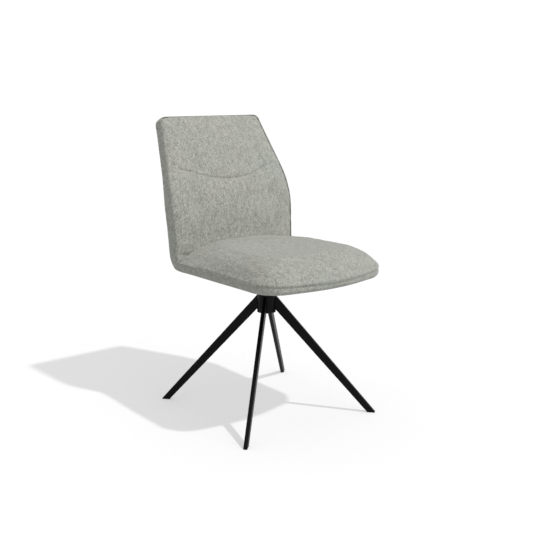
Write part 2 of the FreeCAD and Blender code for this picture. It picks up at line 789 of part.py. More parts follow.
def make_seat_plate():
    body = new_body("seat_plate")
    half = "Sizes.plate_side / 2"
    sketch = sketch_on(body, "seat_plate_outline", "XY_Plane", "Places.plate_bottom")
    corner = "Sizes.plate_corner"
    add_rounded(sketch, [
        (half, f"-{half}", corner),
        (half, half, corner),
        (f"-{half}", half, corner),
        (f"-{half}", f"-{half}", corner),
    ])
    add_circle(sketch, "0", "0", "Sizes.spindle_diameter / 2")
    pad(body, "seat_plate_sheet", sketch, "Sizes.plate_thickness")
    square_holes(body, "seat_plate_hole", "(Sizes.plate_screw + Sizes.screw_clearance) / 2")
    keep(body)


def bracket_holes():
    """Centres of the screws through the feet of the two brackets."""
    spots = []
    for side in (-1, 1):
        for step in (0, 1):
            spots.append((f"{side} * Places.bracket_x",
                          "Sizes.board_rear - Sizes.bracket_foot_length + Sizes.bracket_hole_end"
                          f" + {step} * Sizes.bracket_hole_pitch"))
    return spots


def make_seat_board():
    body = new_body("seat_board")
    sketch = sketch_on(body, "seat_board_outline", "XY_Plane", "Places.board_bottom")
    inset = "(Sizes.band_thickness + Sizes.board_edge_gap)"
    add_rounded(sketch, plan_corners(inset, "Sizes.board_rear"))
    pad(body, "seat_board_sheet", sketch, "Sizes.board_thickness")
    square_holes(body, "seat_board_hole", "Sizes.plate_screw / 2 + Sizes.nut_barrel_wall")
    recess = sketch_on(body, "seat_board_recess_outline", "XY_Plane", "Places.board_top")
    for x in (-1, 1):
        for y in (-1, 1):
            add_circle(recess, f"{x} * Places.plate_screw_reach", f"{y} * Places.plate_screw_reach",
                       "Sizes.plate_screw / 2 + Sizes.nut_flange_lap")
    top = body.newObject("PartDesign::Pocket", "seat_board_recess")
    top.Profile = recess
    top.setExpression("Length", "Sizes.nut_flange")
    small = sketch_on(body, "seat_board_bracket_outline", "XY_Plane", "Places.board_bottom")
    wide = sketch_on(body, "seat_board_bracket_recess_outline", "XY_Plane", "Places.board_bottom")
    for x, y in bracket_holes():
        add_circle(small, x, y, "Sizes.bracket_screw / 2 + Sizes.nut_barrel_wall")
        add_circle(wide, x, y, "Sizes.bracket_screw / 2 + Sizes.nut_flange_lap")
    pocket_through(body, "seat_board_bracket_holes", small)
    under = body.newObject("PartDesign::Pocket", "seat_board_bracket_recess")
    under.Profile = wide
    under.Reversed = True
    under.setExpression("Length", "Sizes.nut_flange")
    keep(body)


def make_lining():
    body = new_body("seat_lining")
    sketch = sketch_on(body, "seat_lining_outline", "XY_Plane", "Places.plate_top")
    inset = "(Sizes.band_thickness + Sizes.board_edge_gap + Sizes.lining_inset)"
    add_rounded(sketch, plan_corners(inset, "Sizes.board_rear - Sizes.lining_inset"))
    pad(body, "seat_lining_sheet", sketch, "Sizes.lining_thickness")
    square_holes(body, "seat_lining_hole", "(Sizes.plate_screw + Sizes.screw_clearance) / 2")
    keep(body)


# A button head's radius, height, socket radius and crown radius as shares of the thread's diameter.
SCREW_HEAD_SHARE = 0.875
SCREW_HEIGHT_SHARE = 0.5
SCREW_SOCKET_SHARE = 0.3
SCREW_CROWN_SHARE = 0.61


def screw_solid(diameter, length):
    """A socket screw about Z: its head below zero and its plain shank above."""
    head = diameter * SCREW_HEAD_SHARE
    height = diameter * SCREW_HEIGHT_SHARE
    socket = diameter * SCREW_SOCKET_SHARE
    chamfer = size("thread_chamfer")
    shank = diameter / 2
    profile = [
        V(0, 0, length),
        V(shank - chamfer, 0, length),
        V(shank, 0, length - chamfer),
        V(shank, 0, 0),
        V(head, 0, 0),
        V(head, 0, -height / 2),
        V(diameter * SCREW_CROWN_SHARE, 0, -height),
        V(socket, 0, -height),
        V(socket, 0, -height / 2),
        V(0, 0, -height / 2),
        V(0, 0, length),
    ]
    return Part.Face(Part.makePolygon(profile)).revolve(V(0, 0, 0), V(0, 0, 1), 360)


def nut_solid(diameter, depth):
    """A tee nut: a flange from zero down and a barrel below it, threaded right through."""
    bore = diameter / 2 + size("thread_gap")
    flange = Part.makeCylinder(diameter / 2 + size("nut_flange_lap"), size("nut_flange"),
                               V(0, 0, -size("nut_flange")))
    barrel = Part.makeCylinder(diameter / 2 + size("nut_barrel_wall"), depth, V(0, 0, -depth))
    return flange.fuse(barrel).cut(Part.makeCylinder(bore, 3 * depth, V(0, 0, -2 * depth))).removeSplitter()


def placed(shape, position, direction):
    """A copy of a shape whose +Z is turned to a direction and whose zero is at a position."""
    copy = shape.copy()
    copy.Placement = FreeCAD.Placement(position, FreeCAD.Rotation(V(0, 0, 1), direction))
    return copy


def make_plate_fasteners():
    reach = place("plate_screw_reach")
    spots = [(x * reach, y * reach) for x in (-1, 1) for y in (-1, 1)]
    washer = Part.makeCylinder(size("plate_screw"), size("plate_washer"))
    washer = washer.cut(Part.makeCylinder(size("plate_screw") / 2 + size("thread_gap"), size("plate_washer")))
    under = place("plate_bottom") - size("plate_washer")
    screw = screw_solid(size("plate_screw"), size("plate_screw_length"))
    nut = nut_solid(size("plate_screw"), size("board_thickness") - size("nut_end_gap"))
    up = V(0, 0, 1)
    keep(shape_part("plate_washers", Part.Compound([placed(washer, V(x, y, under), up) for x, y in spots])))
    keep(shape_part("plate_screws", Part.Compound([placed(screw, V(x, y, under), up) for x, y in spots])))
    top = place("board_top")
    keep(shape_part("plate_tee_nuts", Part.Compound([placed(nut, V(x, y, top), up) for x, y in spots])))


# Brackets between the seat board and the back board, and their fasteners.
def low_back_frame():
    """The direction up the low back and the one square to it, towards the rear."""
    lean = math.radians(size("back_low_lean"))
    return V(0, math.sin(lean), math.cos(lean)), V(0, math.cos(lean), -math.sin(lean))


def bracket_corners(gap):
    """Side view of a bracket, grown all round by a gap."""
    depth = "(Sizes.back_pad_depth + Sizes.back_board_thickness)"
    near = f"({depth} - {gap})"
    far = f"({depth} + Sizes.bracket_thickness + {gap})"
    foot = f"Sizes.board_rear - Sizes.bracket_foot_length - {gap}"
    under = f"(Places.board_top - {gap})"
    over = f"(Places.board_top + Sizes.bracket_thickness + {gap})"
    tip = f"(Places.board_top + Sizes.bracket_height + {gap})"
    return [
        (foot, under, None),
        (*behind_low(far, under), f"Sizes.bracket_bend_radius + Sizes.bracket_thickness + {gap}"),
        (*behind_low(far, tip), None),
        (*behind_low(near, tip), None),
        (*behind_low(near, over), f"Sizes.bracket_bend_radius - {gap}"),
        (foot, over, None),
    ]


def bracket_bar(label, sign, gap):
    """The flat bar of a bracket, or with a gap the slot that it sits in."""
    body = new_body(label)
    sketch = sketch_on(body, f"{label}_outline", "YZ_Plane", f"{sign} * Places.bracket_x")
    add_rounded(sketch, bracket_corners(gap))
    pad(body, f"{label}_bar", sketch, f"Sizes.bracket_width + 2 * {gap}", both_ways=True)
    return body


def make_brackets():
    for side, sign in (("left", -1), ("right", 1)):
        label = f"back_bracket_{side}"
        body = bracket_bar(f"{label}_blank", sign, "0")
        holes = sketch_on(body, f"{label}_hole_outline", "XY_Plane", "Places.board_top")
        for x, y in bracket_holes():
            if (value(x) > 0) == (sign > 0):
                add_circle(holes, x, y, "(Sizes.bracket_screw + Sizes.screw_clearance) / 2")
        drilled = body.newObject("PartDesign::Pocket", f"{label}_holes")
        drilled.Profile = holes
        drilled.Reversed = True
        drilled.setExpression("Length", "Sizes.bracket_thickness")
        doc.recompute()
        shape = body.Shape
        for spot in back_screw_spots():
            if (spot.x > 0) == (sign > 0):
                shape = shape.cut(back_hole(spot, (size("bracket_screw") + size("screw_clearance")) / 2))
        keep(shape_part(label, shape))


def bracket_slots():
    """The room that the two brackets and their screw heads take in the padding."""
    slots = [bracket_bar(f"bracket_slot_{side}", sign, "Sizes.pocket_gap")
             for side, sign in (("left", -1), ("right", 1))]
    doc.recompute()
    shapes = [slot.Shape for slot in slots]
    gap = size("pocket_gap")
    head = size("bracket_screw") * SCREW_HEAD_SHARE + gap
    height = size("bracket_screw") * SCREW_HEIGHT_SHARE + gap
    over = place("board_top") + size("bracket_thickness")
    shapes += [Part.makeCylinder(head, height, V(value(x), value(y), over)) for x, y in bracket_holes()]
    up, rearward = low_back_frame()
    for spot in back_screw_spots():
        shapes.append(Part.makeCylinder(head, height, spot + rearward * size("bracket_thickness"), rearward))
    return shapes


def back_screw_spots():
    """Where the screws of the low back cross the rear face of the back board."""
    up, rearward = low_back_frame()
    depth = size("back_pad_depth") + size("back_board_thickness")
    top = place("board_top") + size("bracket_height")
    spots = []
    for side in (-1, 1):
        for step in (0, 1):
            height = top - size("bracket_hole_end") - step * size("bracket_hole_pitch")
            run = (height - place("seam_height")) / up.z
            spots.append(V(side * place("bracket_x"), size("back_front"), place("seam_height"))
                         + up * run + rearward * depth)
    return spots


def back_hole(spot, radius):
    """A cylinder through the back board and a bracket, square to the low back."""
    up, rearward = low_back_frame()
    reach = size("back_low_thickness")
    return Part.makeCylinder(radius, 2 * reach, spot - rearward * reach, rearward)


def make_bracket_fasteners():
    up, rearward = low_back_frame()
    diameter = size("bracket_screw")
    screw = screw_solid(diameter, size("bracket_screw_length"))
    solids = []
    nuts = []
    for x, y in bracket_holes():
        head = V(value(x), value(y), place("board_top") + size("bracket_thickness"))
        solids.append(placed(screw, head, V(0, 0, -1)))
        nut = nut_solid(diameter, size("board_thickness") - size("nut_end_gap"))
        nuts.append(placed(nut, V(head.x, head.y, place("board_bottom")), V(0, 0, -1)))
    for spot in back_screw_spots():
        solids.append(placed(screw, spot + rearward * size("bracket_thickness"), -rearward))
        nut = nut_solid(diameter, size("back_board_thickness") - size("nut_end_gap"))
        nuts.append(placed(nut, spot - rearward * size("back_board_thickness"), -rearward))
    keep(shape_part("bracket_screws", Part.Compound(solids)))
    keep(shape_part("bracket_tee_nuts", Part.Compound(nuts)))


# Shell pieces cut from the shared outlines.
def make_shell():
    outer_plan = plan_block("outer_plan", "0")
    inner_plan = plan_block("inner_plan", "Sizes.band_thickness")
    outer_back = back_block("outer_back", "0")
    inner_back = back_block("inner_back", "Sizes.band_thickness")
    board_back = back_block("board_back", "(Sizes.band_thickness + Sizes.board_gap)")
    shell_side = side_prism("shell_side", shell_corners())
    plan = boolean("Part::Common", "shell_in_plan", shell_side, outer_plan)
    envelope = boolean("Part::Common", "shell_envelope", plan, outer_back)
    inside = boolean("Part::Common", "shell_inside", inner_plan, inner_back)
    band = boolean("Part::Cut", "side_band", envelope, inside)
    start = "(Places.board_top + Sizes.back_board_start)"
    near = "Sizes.back_pad_depth"
    far = "(Sizes.back_pad_depth + Sizes.back_board_thickness)"
    board_side = side_prism("back_board_side", layer_corners(near, far, start))
    board = boolean("Part::Common", "back_board_blank", board_side, board_back)
    panel_side = side_prism("rear_panel_side", panel_corners())
    panel = boolean("Part::Common", "rear_panel_blank", panel_side, inside)
    doc.recompute()
    keep(band)
    make_back_board(board)
    slots = bracket_slots()
    keep(shape_part("rear_panel", panel.Shape.cut(slots)))
    make_seat_cushion(band, outer_plan, slots)
    make_back_cushion(shell_side, inside, slots)


def make_back_board(blank):
    """The bent plywood of the back, drilled and recessed for its tee nuts."""
    up, rearward = low_back_frame()
    radius = size("bracket_screw") / 2 + size("nut_barrel_wall")
    flange = size("bracket_screw") / 2 + size("nut_flange_lap")
    shape = blank.Shape
    for spot in back_screw_spots():
        shape = shape.cut(back_hole(spot, radius))
        front = spot - rearward * size("back_board_thickness")
        recess = Part.makeCylinder(flange, size("nut_flange") + size("back_pad_depth"),
                                   front - rearward * size("back_pad_depth"), rearward)
        shape = shape.cut(recess)
    keep(shape_part("back_board", shape))


def rounded_wire(corners):
    """A closed wire of lines and arcs through (point, radius) corners."""
    count = len(corners)
    arcs = {}
    for i, (spot, radius) in enumerate(corners):
        if radius:
            arcs[i] = corner_arc(corners[i - 1][0], spot, corners[(i + 1) % count][0], radius)
    edges = []
    for i in range(count):
        j = (i + 1) % count
        if i in arcs:
            start, end, middle, _ = arcs[i]
            edges.append(Part.Arc(start, middle, end).toShape())
        start = arcs[i][1] if i in arcs else corners[i][0]
        end = arcs[j][0] if j in arcs else corners[j][0]
        edges.append(Part.LineSegment(start, end).toShape())
    return Part.Wire(edges)


def seat_plane(height):
    """How far back the seat's padding reaches at a height: the front face of the low back."""
    lean = math.tan(math.radians(size("back_low_lean")))
    return size("back_front") + (height - place("seam_height")) * lean


def seat_outline(height, share, rear_half, rear):
    """The seat's outline at a height: front and sides drawn towards the crest by a share,
    and sides that curve in from the crest to the rear corners."""
    crest = -size("seat_crest_front")
    side = size("seat_half_width") * share
    corner = V(side, crest - (size("seat_corner_front") + crest) * share, height)
    apex = V(0, crest - (size("seat_apex_front") + crest) * share, height)
    hip = V(side, crest, height)

    def mirrored(point):
        return V(-point.x, point.y, point.z)

    turn_start, turn_end, turn_middle, _ = corner_arc(hip, corner, apex, size("seat_corner_radius") * share)
    bow_start, _, bow_middle, _ = corner_arc(corner, apex, mirrored(corner), size("seat_bow_radius") * share)
    rear_corner = V(rear_half, rear, height)
    chord = rear_corner - hip
    radius = chord.dot(chord) / (2 * (side - rear_half))
    half_turn = math.asin((rear - crest) / radius) / 2
    flank = hip + V(radius * (math.cos(half_turn) - 1), radius * math.sin(half_turn), 0)
    rear_middle = V(0, rear + rear_half * size("seat_rear_bulge"), height)
    half = [
        (bow_start, turn_end),
        (turn_end, turn_middle, turn_start),
        (turn_start, hip),
        (hip, flank, rear_corner),
    ]
    other_half = [tuple(mirrored(point) for point in points[::-1]) for points in half[::-1]]
    around = half + [(rear_corner, rear_middle, mirrored(rear_corner))]
    around += other_half + [(mirrored(bow_start), bow_middle, bow_start)]
    edges = [Part.Arc(*points) if len(points) == 3 else Part.LineSegment(*points) for points in around]
    return Part.Wire([edge.toShape() for edge in edges])


def seat_section(rise):
    """The crown's outline at a share of its height, fuller at the sides than at the rear."""
    height = place("seam_height") + rise * size("seat_crown")
    share = (1 - rise ** size("seat_rise_power")) ** (1 / size("seat_side_power"))
    rear_share = (1 - rise) ** (1 / size("seat_rear_power"))
    rear_half = min(size("seat_half_width") * rear_share, size("seat_half_width") * share - size("flank_draw"))
    crest = -size("seat_crest_front")
    fall = (1 - rise) / (1 - size("seat_rear_rise") / size("seat_crown"))
    rear = min(seat_plane(height), crest + (size("back_front") - crest) * math.sqrt(fall))
    return seat_outline(height, share, rear_half, rear)


SEAT_RISES = (0, 0.2, 0.4, 0.6, 0.75, 0.86, 0.94, 0.98)


def make_seat_cushion(band, outer_plan, slots):
    """A crowned pad: level sections drawn in towards the crest, on a straight-sided core."""
    ahead = "(Sizes.seat_apex_front + Sizes.band_thickness)"
    over = "2 * Places.seam_height"
    core_side = side_prism("seat_core_side", [
        (f"-{ahead}", "Places.board_top", None),
        (*behind_low("0", "Places.board_top"), None),
        (*behind_low("0", "Places.seam_height"), None),
        (f"-{ahead}", "Places.seam_height", None),
    ])
    core = boolean("Part::Common", "seat_core", core_side, outer_plan)
    behind = side_prism("behind_seat", [
        (*behind_low("0", "0"), None),
        (f"{over}", "0", None),
        (f"{over}", over, None),
        (*behind_low("0", over), None),
    ])
    doc.recompute()
    crown = Part.makeLoft([seat_section(rise) for rise in SEAT_RISES], True, False)
    cushion = crown.cut(behind.Shape).fuse(core.Shape).cut([band.Shape] + slots)
    keep(shape_part("seat_cushion", cushion.removeSplitter()))


def back_stations():
    """Points up the front line of the back with the lean, half width and crown at each."""
    low = math.radians(size("back_low_lean"))
    high = math.radians(size("back_high_lean"))
    radius = size("back_bend_radius")
    reach = radius * math.tan((high - low) / 2)
    bend = V(0, place("bend_y"), place("bend_height"))
    up_low = V(0, math.sin(low), math.cos(low))
    up_high = V(0, math.sin(high), math.cos(high))
    bend_start = bend - up_low * reach
    bend_end = bend + up_high * reach
    middle = (low + high) / 2
    centre = bend_start + V(0, math.cos(low), -math.sin(low)) * radius
    bend_middle = centre + V(0, -math.cos(middle), math.sin(middle)) * radius
    foot = bend_start - up_low * ((bend_start.z - place("board_top")) / up_low.z)
    crown = size("back_crown")
    top = V(0, place("top_y"), place("top_height"))
    return [
        (foot, low, -1),
        (foot + up_low * size("back_crown_start"), low, -1),
        ((foot + up_low * size("back_crown_start") + bend_start) * 0.5, low, crown * 0.7),
        (bend_start, low, crown),
        (bend_middle, middle, crown),
        (bend_end, high, crown * 0.9),
        ((bend_end * 2 + top) * (1 / 3), high, crown * 0.85),
        ((bend_end + top * 3) * 0.25, high, crown * 0.6),
        (top, high, crown * 0.15),
    ]


def half_width_at(point):
    """Half the width of the back where its front line passes a point."""
    lean = math.radians(size("back_high_lean"))
    level = point.y * math.sin(lean) + point.z * math.cos(lean)
    above = max(0.0, level - place("shoulder_level"))
    return size("seat_half_width") - above * math.tan(math.radians(size("back_taper")))


def back_loft(sunk, depth):
    """The crown of the back pad lowered by an amount and of a depth, reaching past the pad's sides."""
    sections = []
    lap = size("crown_overlap")
    edge = size("crown_edge")
    for point, lean, crown in back_stations():
        forward = V(0, -math.cos(lean), math.sin(lean))
        side = V(half_width_at(point) + lap, 0, 0)
        front = point - forward * (sunk + edge)
        rear = point - forward * (sunk + depth)
        edges = [
            Part.Arc(front - side, front + forward * (crown + edge), front + side).toShape(),
            Part.LineSegment(front + side, rear + side).toShape(),
            Part.LineSegment(rear + side, rear - side).toShape(),
            Part.LineSegment(rear - side, front - side).toShape(),
        ]
        sections.append(Part.Wire(edges))
    return Part.makeLoft(sections, True, False)


def channel_strip():
    """The sewn channel seen square to the upper back: a dipped middle with ends that flatten."""
    radius = size("channel_radius")
    end_radius = size("channel_end_radius")
    half = size("channel_half_width")
    span = size("channel_span")
    low = place("top_level") - size("channel_height")
    swing = math.asin(half / radius)
    join = low + radius * (1 - math.cos(swing))
    end_centre = V(half + end_radius * math.sin(swing), 0, join - end_radius * math.cos(swing))
    end_swing = math.asin((end_centre.x - span) / end_radius)

    def edge_points(offset):
        """Nine points along one side of the strip, from left to right."""
        big = radius - offset
        small = end_radius + offset
        turns = (swing, swing / 2, 0)
        right = [V(big * math.sin(turn), 0, low + radius - big * math.cos(turn)) for turn in turns[::-1]]
        for turn in ((swing + end_swing) / 2, end_swing):
            right.append(end_centre + V(-small * math.sin(turn), 0, small * math.cos(turn)))
        left = [V(-point.x, 0, point.z) for point in right[:0:-1]]
        return left + right

    def side_edges(points):
        return [Part.Arc(*points[i:i + 3]).toShape() for i in (0, 2, 4, 6)]

    upper = edge_points(size("channel_width") / 2)
    lower = edge_points(-size("channel_width") / 2)
    edges = side_edges(upper)
    edges.append(Part.LineSegment(upper[-1], lower[-1]).toShape())
    edges += side_edges(lower[::-1])
    edges.append(Part.LineSegment(lower[0], upper[0]).toShape())
    face = Part.Face(Part.Wire(edges))
    face.translate(V(0, -2 * place("top_y"), 0))
    strip = face.extrude(V(0, 3 * place("top_y"), 0))
    strip.Placement = FreeCAD.Placement(V(0, 0, 0), FreeCAD.Rotation(V(1, 0, 0), -size("back_high_lean")))
    return strip


def make_back_cushion(shell_side, inside, slots):
    """The front pad of the back: an even layer between the bands, with a crown and a sewn channel."""
    layer_side = side_prism("back_layer_side", layer_corners("0", "Sizes.back_pad_depth", "Places.board_top"))
    layer = boolean("Part::Common", "back_layer", layer_side, inside)
    outline = back_block("back_crown_outline", "Sizes.pocket_gap")
    doc.recompute()
    crown = back_loft(0, size("crown_overlap")).cut(shell_side.Shape).common(outline.Shape)
    uncut = back_loft(size("channel_depth"), 2 * size("back_pad_depth"))
    groove = channel_strip().cut(uncut)
    cushion = layer.Shape.fuse(crown).cut(slots + [groove])
    keep(shape_part("back_cushion", cushion))


make_base()
make_bushes()
make_bearing()
make_spindle()
make_seat_plate()
make_seat_board()
make_lining()
make_plate_fasteners()
make_brackets()
make_bracket_fasteners()
make_shell()
doc.recompute()

faults = [f"{item.Name}: {item.State}" for item in doc.Objects if {"Invalid", "Error"} & set(item.State)]
for node in nodes:
    if node.Shape.isNull() or not node.Shape.isValid():
        faults.append(f"{node.Label}: bad shape")
if faults:
    raise RuntimeError("; ".join(faults))
for node in nodes:
    node.Shape.exportStep(f"parts/{node.Label}.step")
    print(f"{node.Label}: {len(node.Shape.Solids)} solids, {node.Shape.Volume / 1000:.2f} cm3")
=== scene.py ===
# Looks of the swivel dining chair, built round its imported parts. Metres, +Z up, the chair faces -Y.
import json
import math

import bpy
import numpy as np
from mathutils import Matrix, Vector
from mathutils.bvhtree import BVHTree
from mathutils.kdtree import KDTree


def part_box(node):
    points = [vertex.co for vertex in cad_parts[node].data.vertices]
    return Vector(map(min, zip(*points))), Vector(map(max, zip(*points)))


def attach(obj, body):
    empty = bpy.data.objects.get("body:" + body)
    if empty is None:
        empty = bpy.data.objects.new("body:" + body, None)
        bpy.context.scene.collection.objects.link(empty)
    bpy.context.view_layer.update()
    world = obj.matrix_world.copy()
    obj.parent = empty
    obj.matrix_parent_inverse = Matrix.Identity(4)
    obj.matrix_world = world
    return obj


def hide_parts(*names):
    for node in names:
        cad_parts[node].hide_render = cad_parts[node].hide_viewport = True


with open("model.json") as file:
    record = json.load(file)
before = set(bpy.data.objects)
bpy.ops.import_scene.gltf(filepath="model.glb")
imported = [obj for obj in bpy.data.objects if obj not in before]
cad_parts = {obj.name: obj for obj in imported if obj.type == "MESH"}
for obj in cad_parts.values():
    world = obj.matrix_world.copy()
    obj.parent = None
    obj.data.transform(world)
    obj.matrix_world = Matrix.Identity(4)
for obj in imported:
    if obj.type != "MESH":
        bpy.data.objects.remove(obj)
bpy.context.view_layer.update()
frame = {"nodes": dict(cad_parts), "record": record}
nodes = frame["nodes"]
MM = 0.001

# Driving dimensions of the upholstered shell, as the model has them.
SHELL_LOW, SHELL_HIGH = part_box("side_band")
HALF_WIDTH = SHELL_HIGH.x
FLOOR_Z = SHELL_LOW.z
SEAM_Z = FLOOR_Z + 26 * MM
CORNER_FRONT = 282.5 * MM
APEX_FRONT = 327.5 * MM
CORNER_RADIUS = 90 * MM
BOW_RADIUS = 480 * MM
DIP_START = 280 * MM
DIP_RADIUS = 250 * MM
DIP_SLOPE = math.tan(math.radians(13))
BACK_FRONT = 144.5 * MM
LOW_LEAN = math.radians(3)
HIGH_LEAN = math.radians(28)
BEND_HEIGHT = 193 * MM
BEND_RADIUS = 360 * MM
HIGH_LENGTH = 263 * MM
LOW_THICKNESS = 44 * MM
HIGH_THICKNESS = 34 * MM
REAR_BEND_RADIUS = 320 * MM
REAR_CORNER_RADIUS = 55 * MM
INNER_CORNER_RADIUS = 18 * MM
SHOULDER = 241 * MM
TAPER = math.tan(math.radians(10.2))
SIDE_RADIUS = 600 * MM
TOP_CORNER_RADIUS = 22 * MM

# The sewn channel across the back, seen square to the upper back.
CHANNEL_DROP = 217 * MM
CHANNEL_HALF = 130 * MM
CHANNEL_RADIUS = 315 * MM
CHANNEL_END_RADIUS = 225 * MM
CHANNEL_SPAN = 206 * MM

# Seam lines: the gap between their points, and where the back's sides stop being upright.
LINE_GAP = 1 * MM
LOW_BACK_TOP = SEAM_Z + 90 * MM
BACK_LINE_LOW = SEAM_Z - 20 * MM
REAR_SEAM_START = 132 * MM

# How the pads are swollen: they start smaller, and no point moves further than a cap.
PAD_VOXEL = 5 * MM
BAND_VOXEL = 2.4 * MM
PAD_SMOOTHING = 3
BAND_SMOOTHING = 2
START_SMALLER = 2.5 * MM
CLOTH_PRESSURE = 4.0
CLOTH_FRAMES = 20
SEAT_CAP = 3 * MM
BACK_CAP = 3.5 * MM

# The seat pad: where it is held, its overhang above the seam and the hollow where people sit.
SEAT_HELD_RISE = 4 * MM
SEAT_HELD_REAR = 6 * MM
OVERHANG = 3 * MM
OVERHANG_RISE = 9 * MM
OVERHANG_HALF = 13 * MM
OVERHANG_FADE = 20 * MM
OVERHANG_END = 110 * MM
SAT_DEPTH = 3 * MM
SAT_MIDDLE = -60 * MM
SAT_HALF_WIDTH = 120 * MM
SAT_HALF_LENGTH = 130 * MM

# The back pad: where it is held, its full lower part and middle, its channel's valley and groove.
BACK_HELD_RISE = 20 * MM
BACK_HELD_TURN = -0.3
FRONT_TURN = (0.2, 0.6)
CROWN_START = 522 * MM
CROWN_RISE = 50 * MM
LUMBAR_START = 476 * MM
LUMBAR_FULL = 494 * MM
MIDDLE_FILL = 3 * MM
MIDDLE_HEIGHT = 800 * MM
MIDDLE_HALF_WIDTH = 85 * MM
MIDDLE_HALF_HEIGHT = 60 * MM
VALLEY_DEPTH = 3.2 * MM
VALLEY_WIDTH = 15 * MM
GROOVE_DEPTH = 3.4 * MM
GROOVE_WIDTH = 3.2 * MM
PUCKER = 0.25
PUCKER_LENGTH = 26 * MM
CHANNEL_FADE = 45 * MM
CHANNEL_OVERRUN = 4 * MM

# The covers' rim, stitching and fill, and where each of them fades.
RIM_RADIUS = 9 * MM
TUCK = 3 * MM
TUCK_POWER = 1.6
TUCK_FULL = 60 * MM
TUCK_END = 150 * MM
RIM_LIFT = 2.2 * MM
LIFT_START = 60 * MM
LIFT_FULL = 250 * MM
STITCH_OFFSET = 6 * MM
LUMBAR_FILL = 11 * MM
PAD_FILL = 4.5 * MM
BAND_FILL = 3 * MM
REAR_FILL = 4 * MM
TOP_FILL = 5 * MM
FILL_START = 530 * MM
FILL_FULL = 640 * MM
SIDE_REACH = 40 * MM
TOP_REACH = 60 * MM
EDGE_GAP = 6 * MM
BEHIND_START = 4 * MM
BEHIND_FULL = 30 * MM
CORNER_DRAW = 5 * MM
CORNER_HEIGHT = 470 * MM
CORNER_HALF = 50 * MM


# Mesh helpers.
def link(obj):
    bpy.context.scene.collection.objects.link(obj)
    return obj


def get_points(mesh):
    points = np.empty(len(mesh.vertices) * 3)
    mesh.vertices.foreach_get("co", points)
    return points.reshape(-1, 3)


def set_points(mesh, points):
    mesh.vertices.foreach_set("co", np.asarray(points, float).ravel())
    mesh.update()


def get_normals(mesh):
    normals = np.empty(len(mesh.vertices) * 3)
    mesh.vertex_normals.foreach_get("vector", normals)
    return normals.reshape(-1, 3)


def settle(obj):
    """Replace an object's mesh by what its modifiers make of it."""
    graph = bpy.context.evaluated_depsgraph_get()
    mesh = bpy.data.meshes.new_from_object(obj.evaluated_get(graph))
    old = obj.data
    obj.modifiers.clear()
    obj.data = mesh
    bpy.data.meshes.remove(old)


def remeshed(node, name, voxel, smoothing):
    """A new object from a node's mesh, in even quads with softened edges."""
    obj = link(bpy.data.objects.new(name, nodes[node].data.copy()))
    obj.data.materials.clear()
    even = obj.modifiers.new("even", "REMESH")
    even.mode = "VOXEL"
    even.voxel_size = voxel
    soft = obj.modifiers.new("soft", "SMOOTH")
    soft.factor = 0.5
    soft.iterations = smoothing
    settle(obj)
    return obj


def subdivide(obj):
    finer = obj.modifiers.new("finer", "SUBSURF")
    finer.levels = 1
    finer.render_levels = 1
    settle(obj)


def swell(obj, held, cap):
    """Blow the free part of a pad up a little as cloth, and keep each point within a cap."""
    rest = get_points(obj.data)
    group = obj.vertex_groups.new(name="held")
    group.add([int(i) for i in np.nonzero(held)[0]], 1.0, "REPLACE")
    cloth = obj.modifiers.new("cloth", "CLOTH")
    cloth.settings.quality = 5
    cloth.settings.mass = 0.3
    cloth.settings.tension_stiffness = 15
    cloth.settings.compression_stiffness = 15
    cloth.settings.shear_stiffness = 5
    cloth.settings.bending_stiffness = 0.5
    cloth.settings.vertex_group_mass = "held"
    cloth.settings.shrink_min = -0.012
    cloth.settings.use_pressure = True
    cloth.settings.uniform_pressure_force = CLOTH_PRESSURE
    cloth.settings.effector_weights.gravity = 0
    scene = bpy.context.scene
    for step in range(1, CLOTH_FRAMES + 1):
        scene.frame_set(step)
    graph = bpy.context.evaluated_depsgraph_get()
    moved = get_points(obj.evaluated_get(graph).data)
    obj.modifiers.clear()
    obj.vertex_groups.clear()
    scene.frame_set(1)
    shift = moved - rest
    length = np.linalg.norm(shift, axis=1, keepdims=True)
    shift *= np.minimum(1, cap / np.maximum(length, 1e-9))
    set_points(obj.data, rest + shift)


def bump(distance, width):
    """A smooth hump: 1 at zero distance, nearly 0 from twice the width on."""
    return np.exp(-(distance / width) ** 2)


def step_between(values, low, high):
    share = np.clip((values - low) / (high - low), 0, 1)
    return share * share * (3 - 2 * share)


def distance_to(points, path):
    """How far each point is from a line of closely spaced points."""
    tree = KDTree(len(path))
    for index, point in enumerate(path):
        tree.insert(point, index)
    tree.balance()
    return np.array([tree.find(point)[2] for point in points])


def spaced(path, gap):
    """The same line with its points an even gap apart."""
    path = np.asarray(path, float)
    run = np.concatenate([[0], np.cumsum(np.linalg.norm(np.diff(path, axis=0), axis=1))])
    marks = np.arange(0, run[-1], gap)
    return np.stack([np.interp(marks, run, path[:, axis]) for axis in range(path.shape[1])], axis=1)


# Lines that the shell's pieces meet on.
def rounded_line(corners):
    """A flat line through (x, y, radius) corners, each rounded by its radius."""
    spots = [np.array(corner[:2], float) for corner in corners]
    line = [spots[0]]
    for before, spot, after, (_, _, radius) in zip(spots, spots[1:], spots[2:], corners[1:-1]):
        back = (before - spot) / np.linalg.norm(before - spot)
        ahead = (after - spot) / np.linalg.norm(after - spot)
        half = math.acos(float(np.clip(back @ ahead, -1, 1))) / 2
        bisector = (back + ahead) / np.linalg.norm(back + ahead)
        centre = spot + bisector * radius / math.sin(half)
        start = spot + back * radius / math.tan(half) - centre
        end = spot + ahead * radius / math.tan(half) - centre
        for share in np.linspace(0, 1, 24):
            mix = start * (1 - share) + end * share
            line.append(centre + mix / np.linalg.norm(mix) * radius)
    line.append(spots[-1])
    return np.array(line)


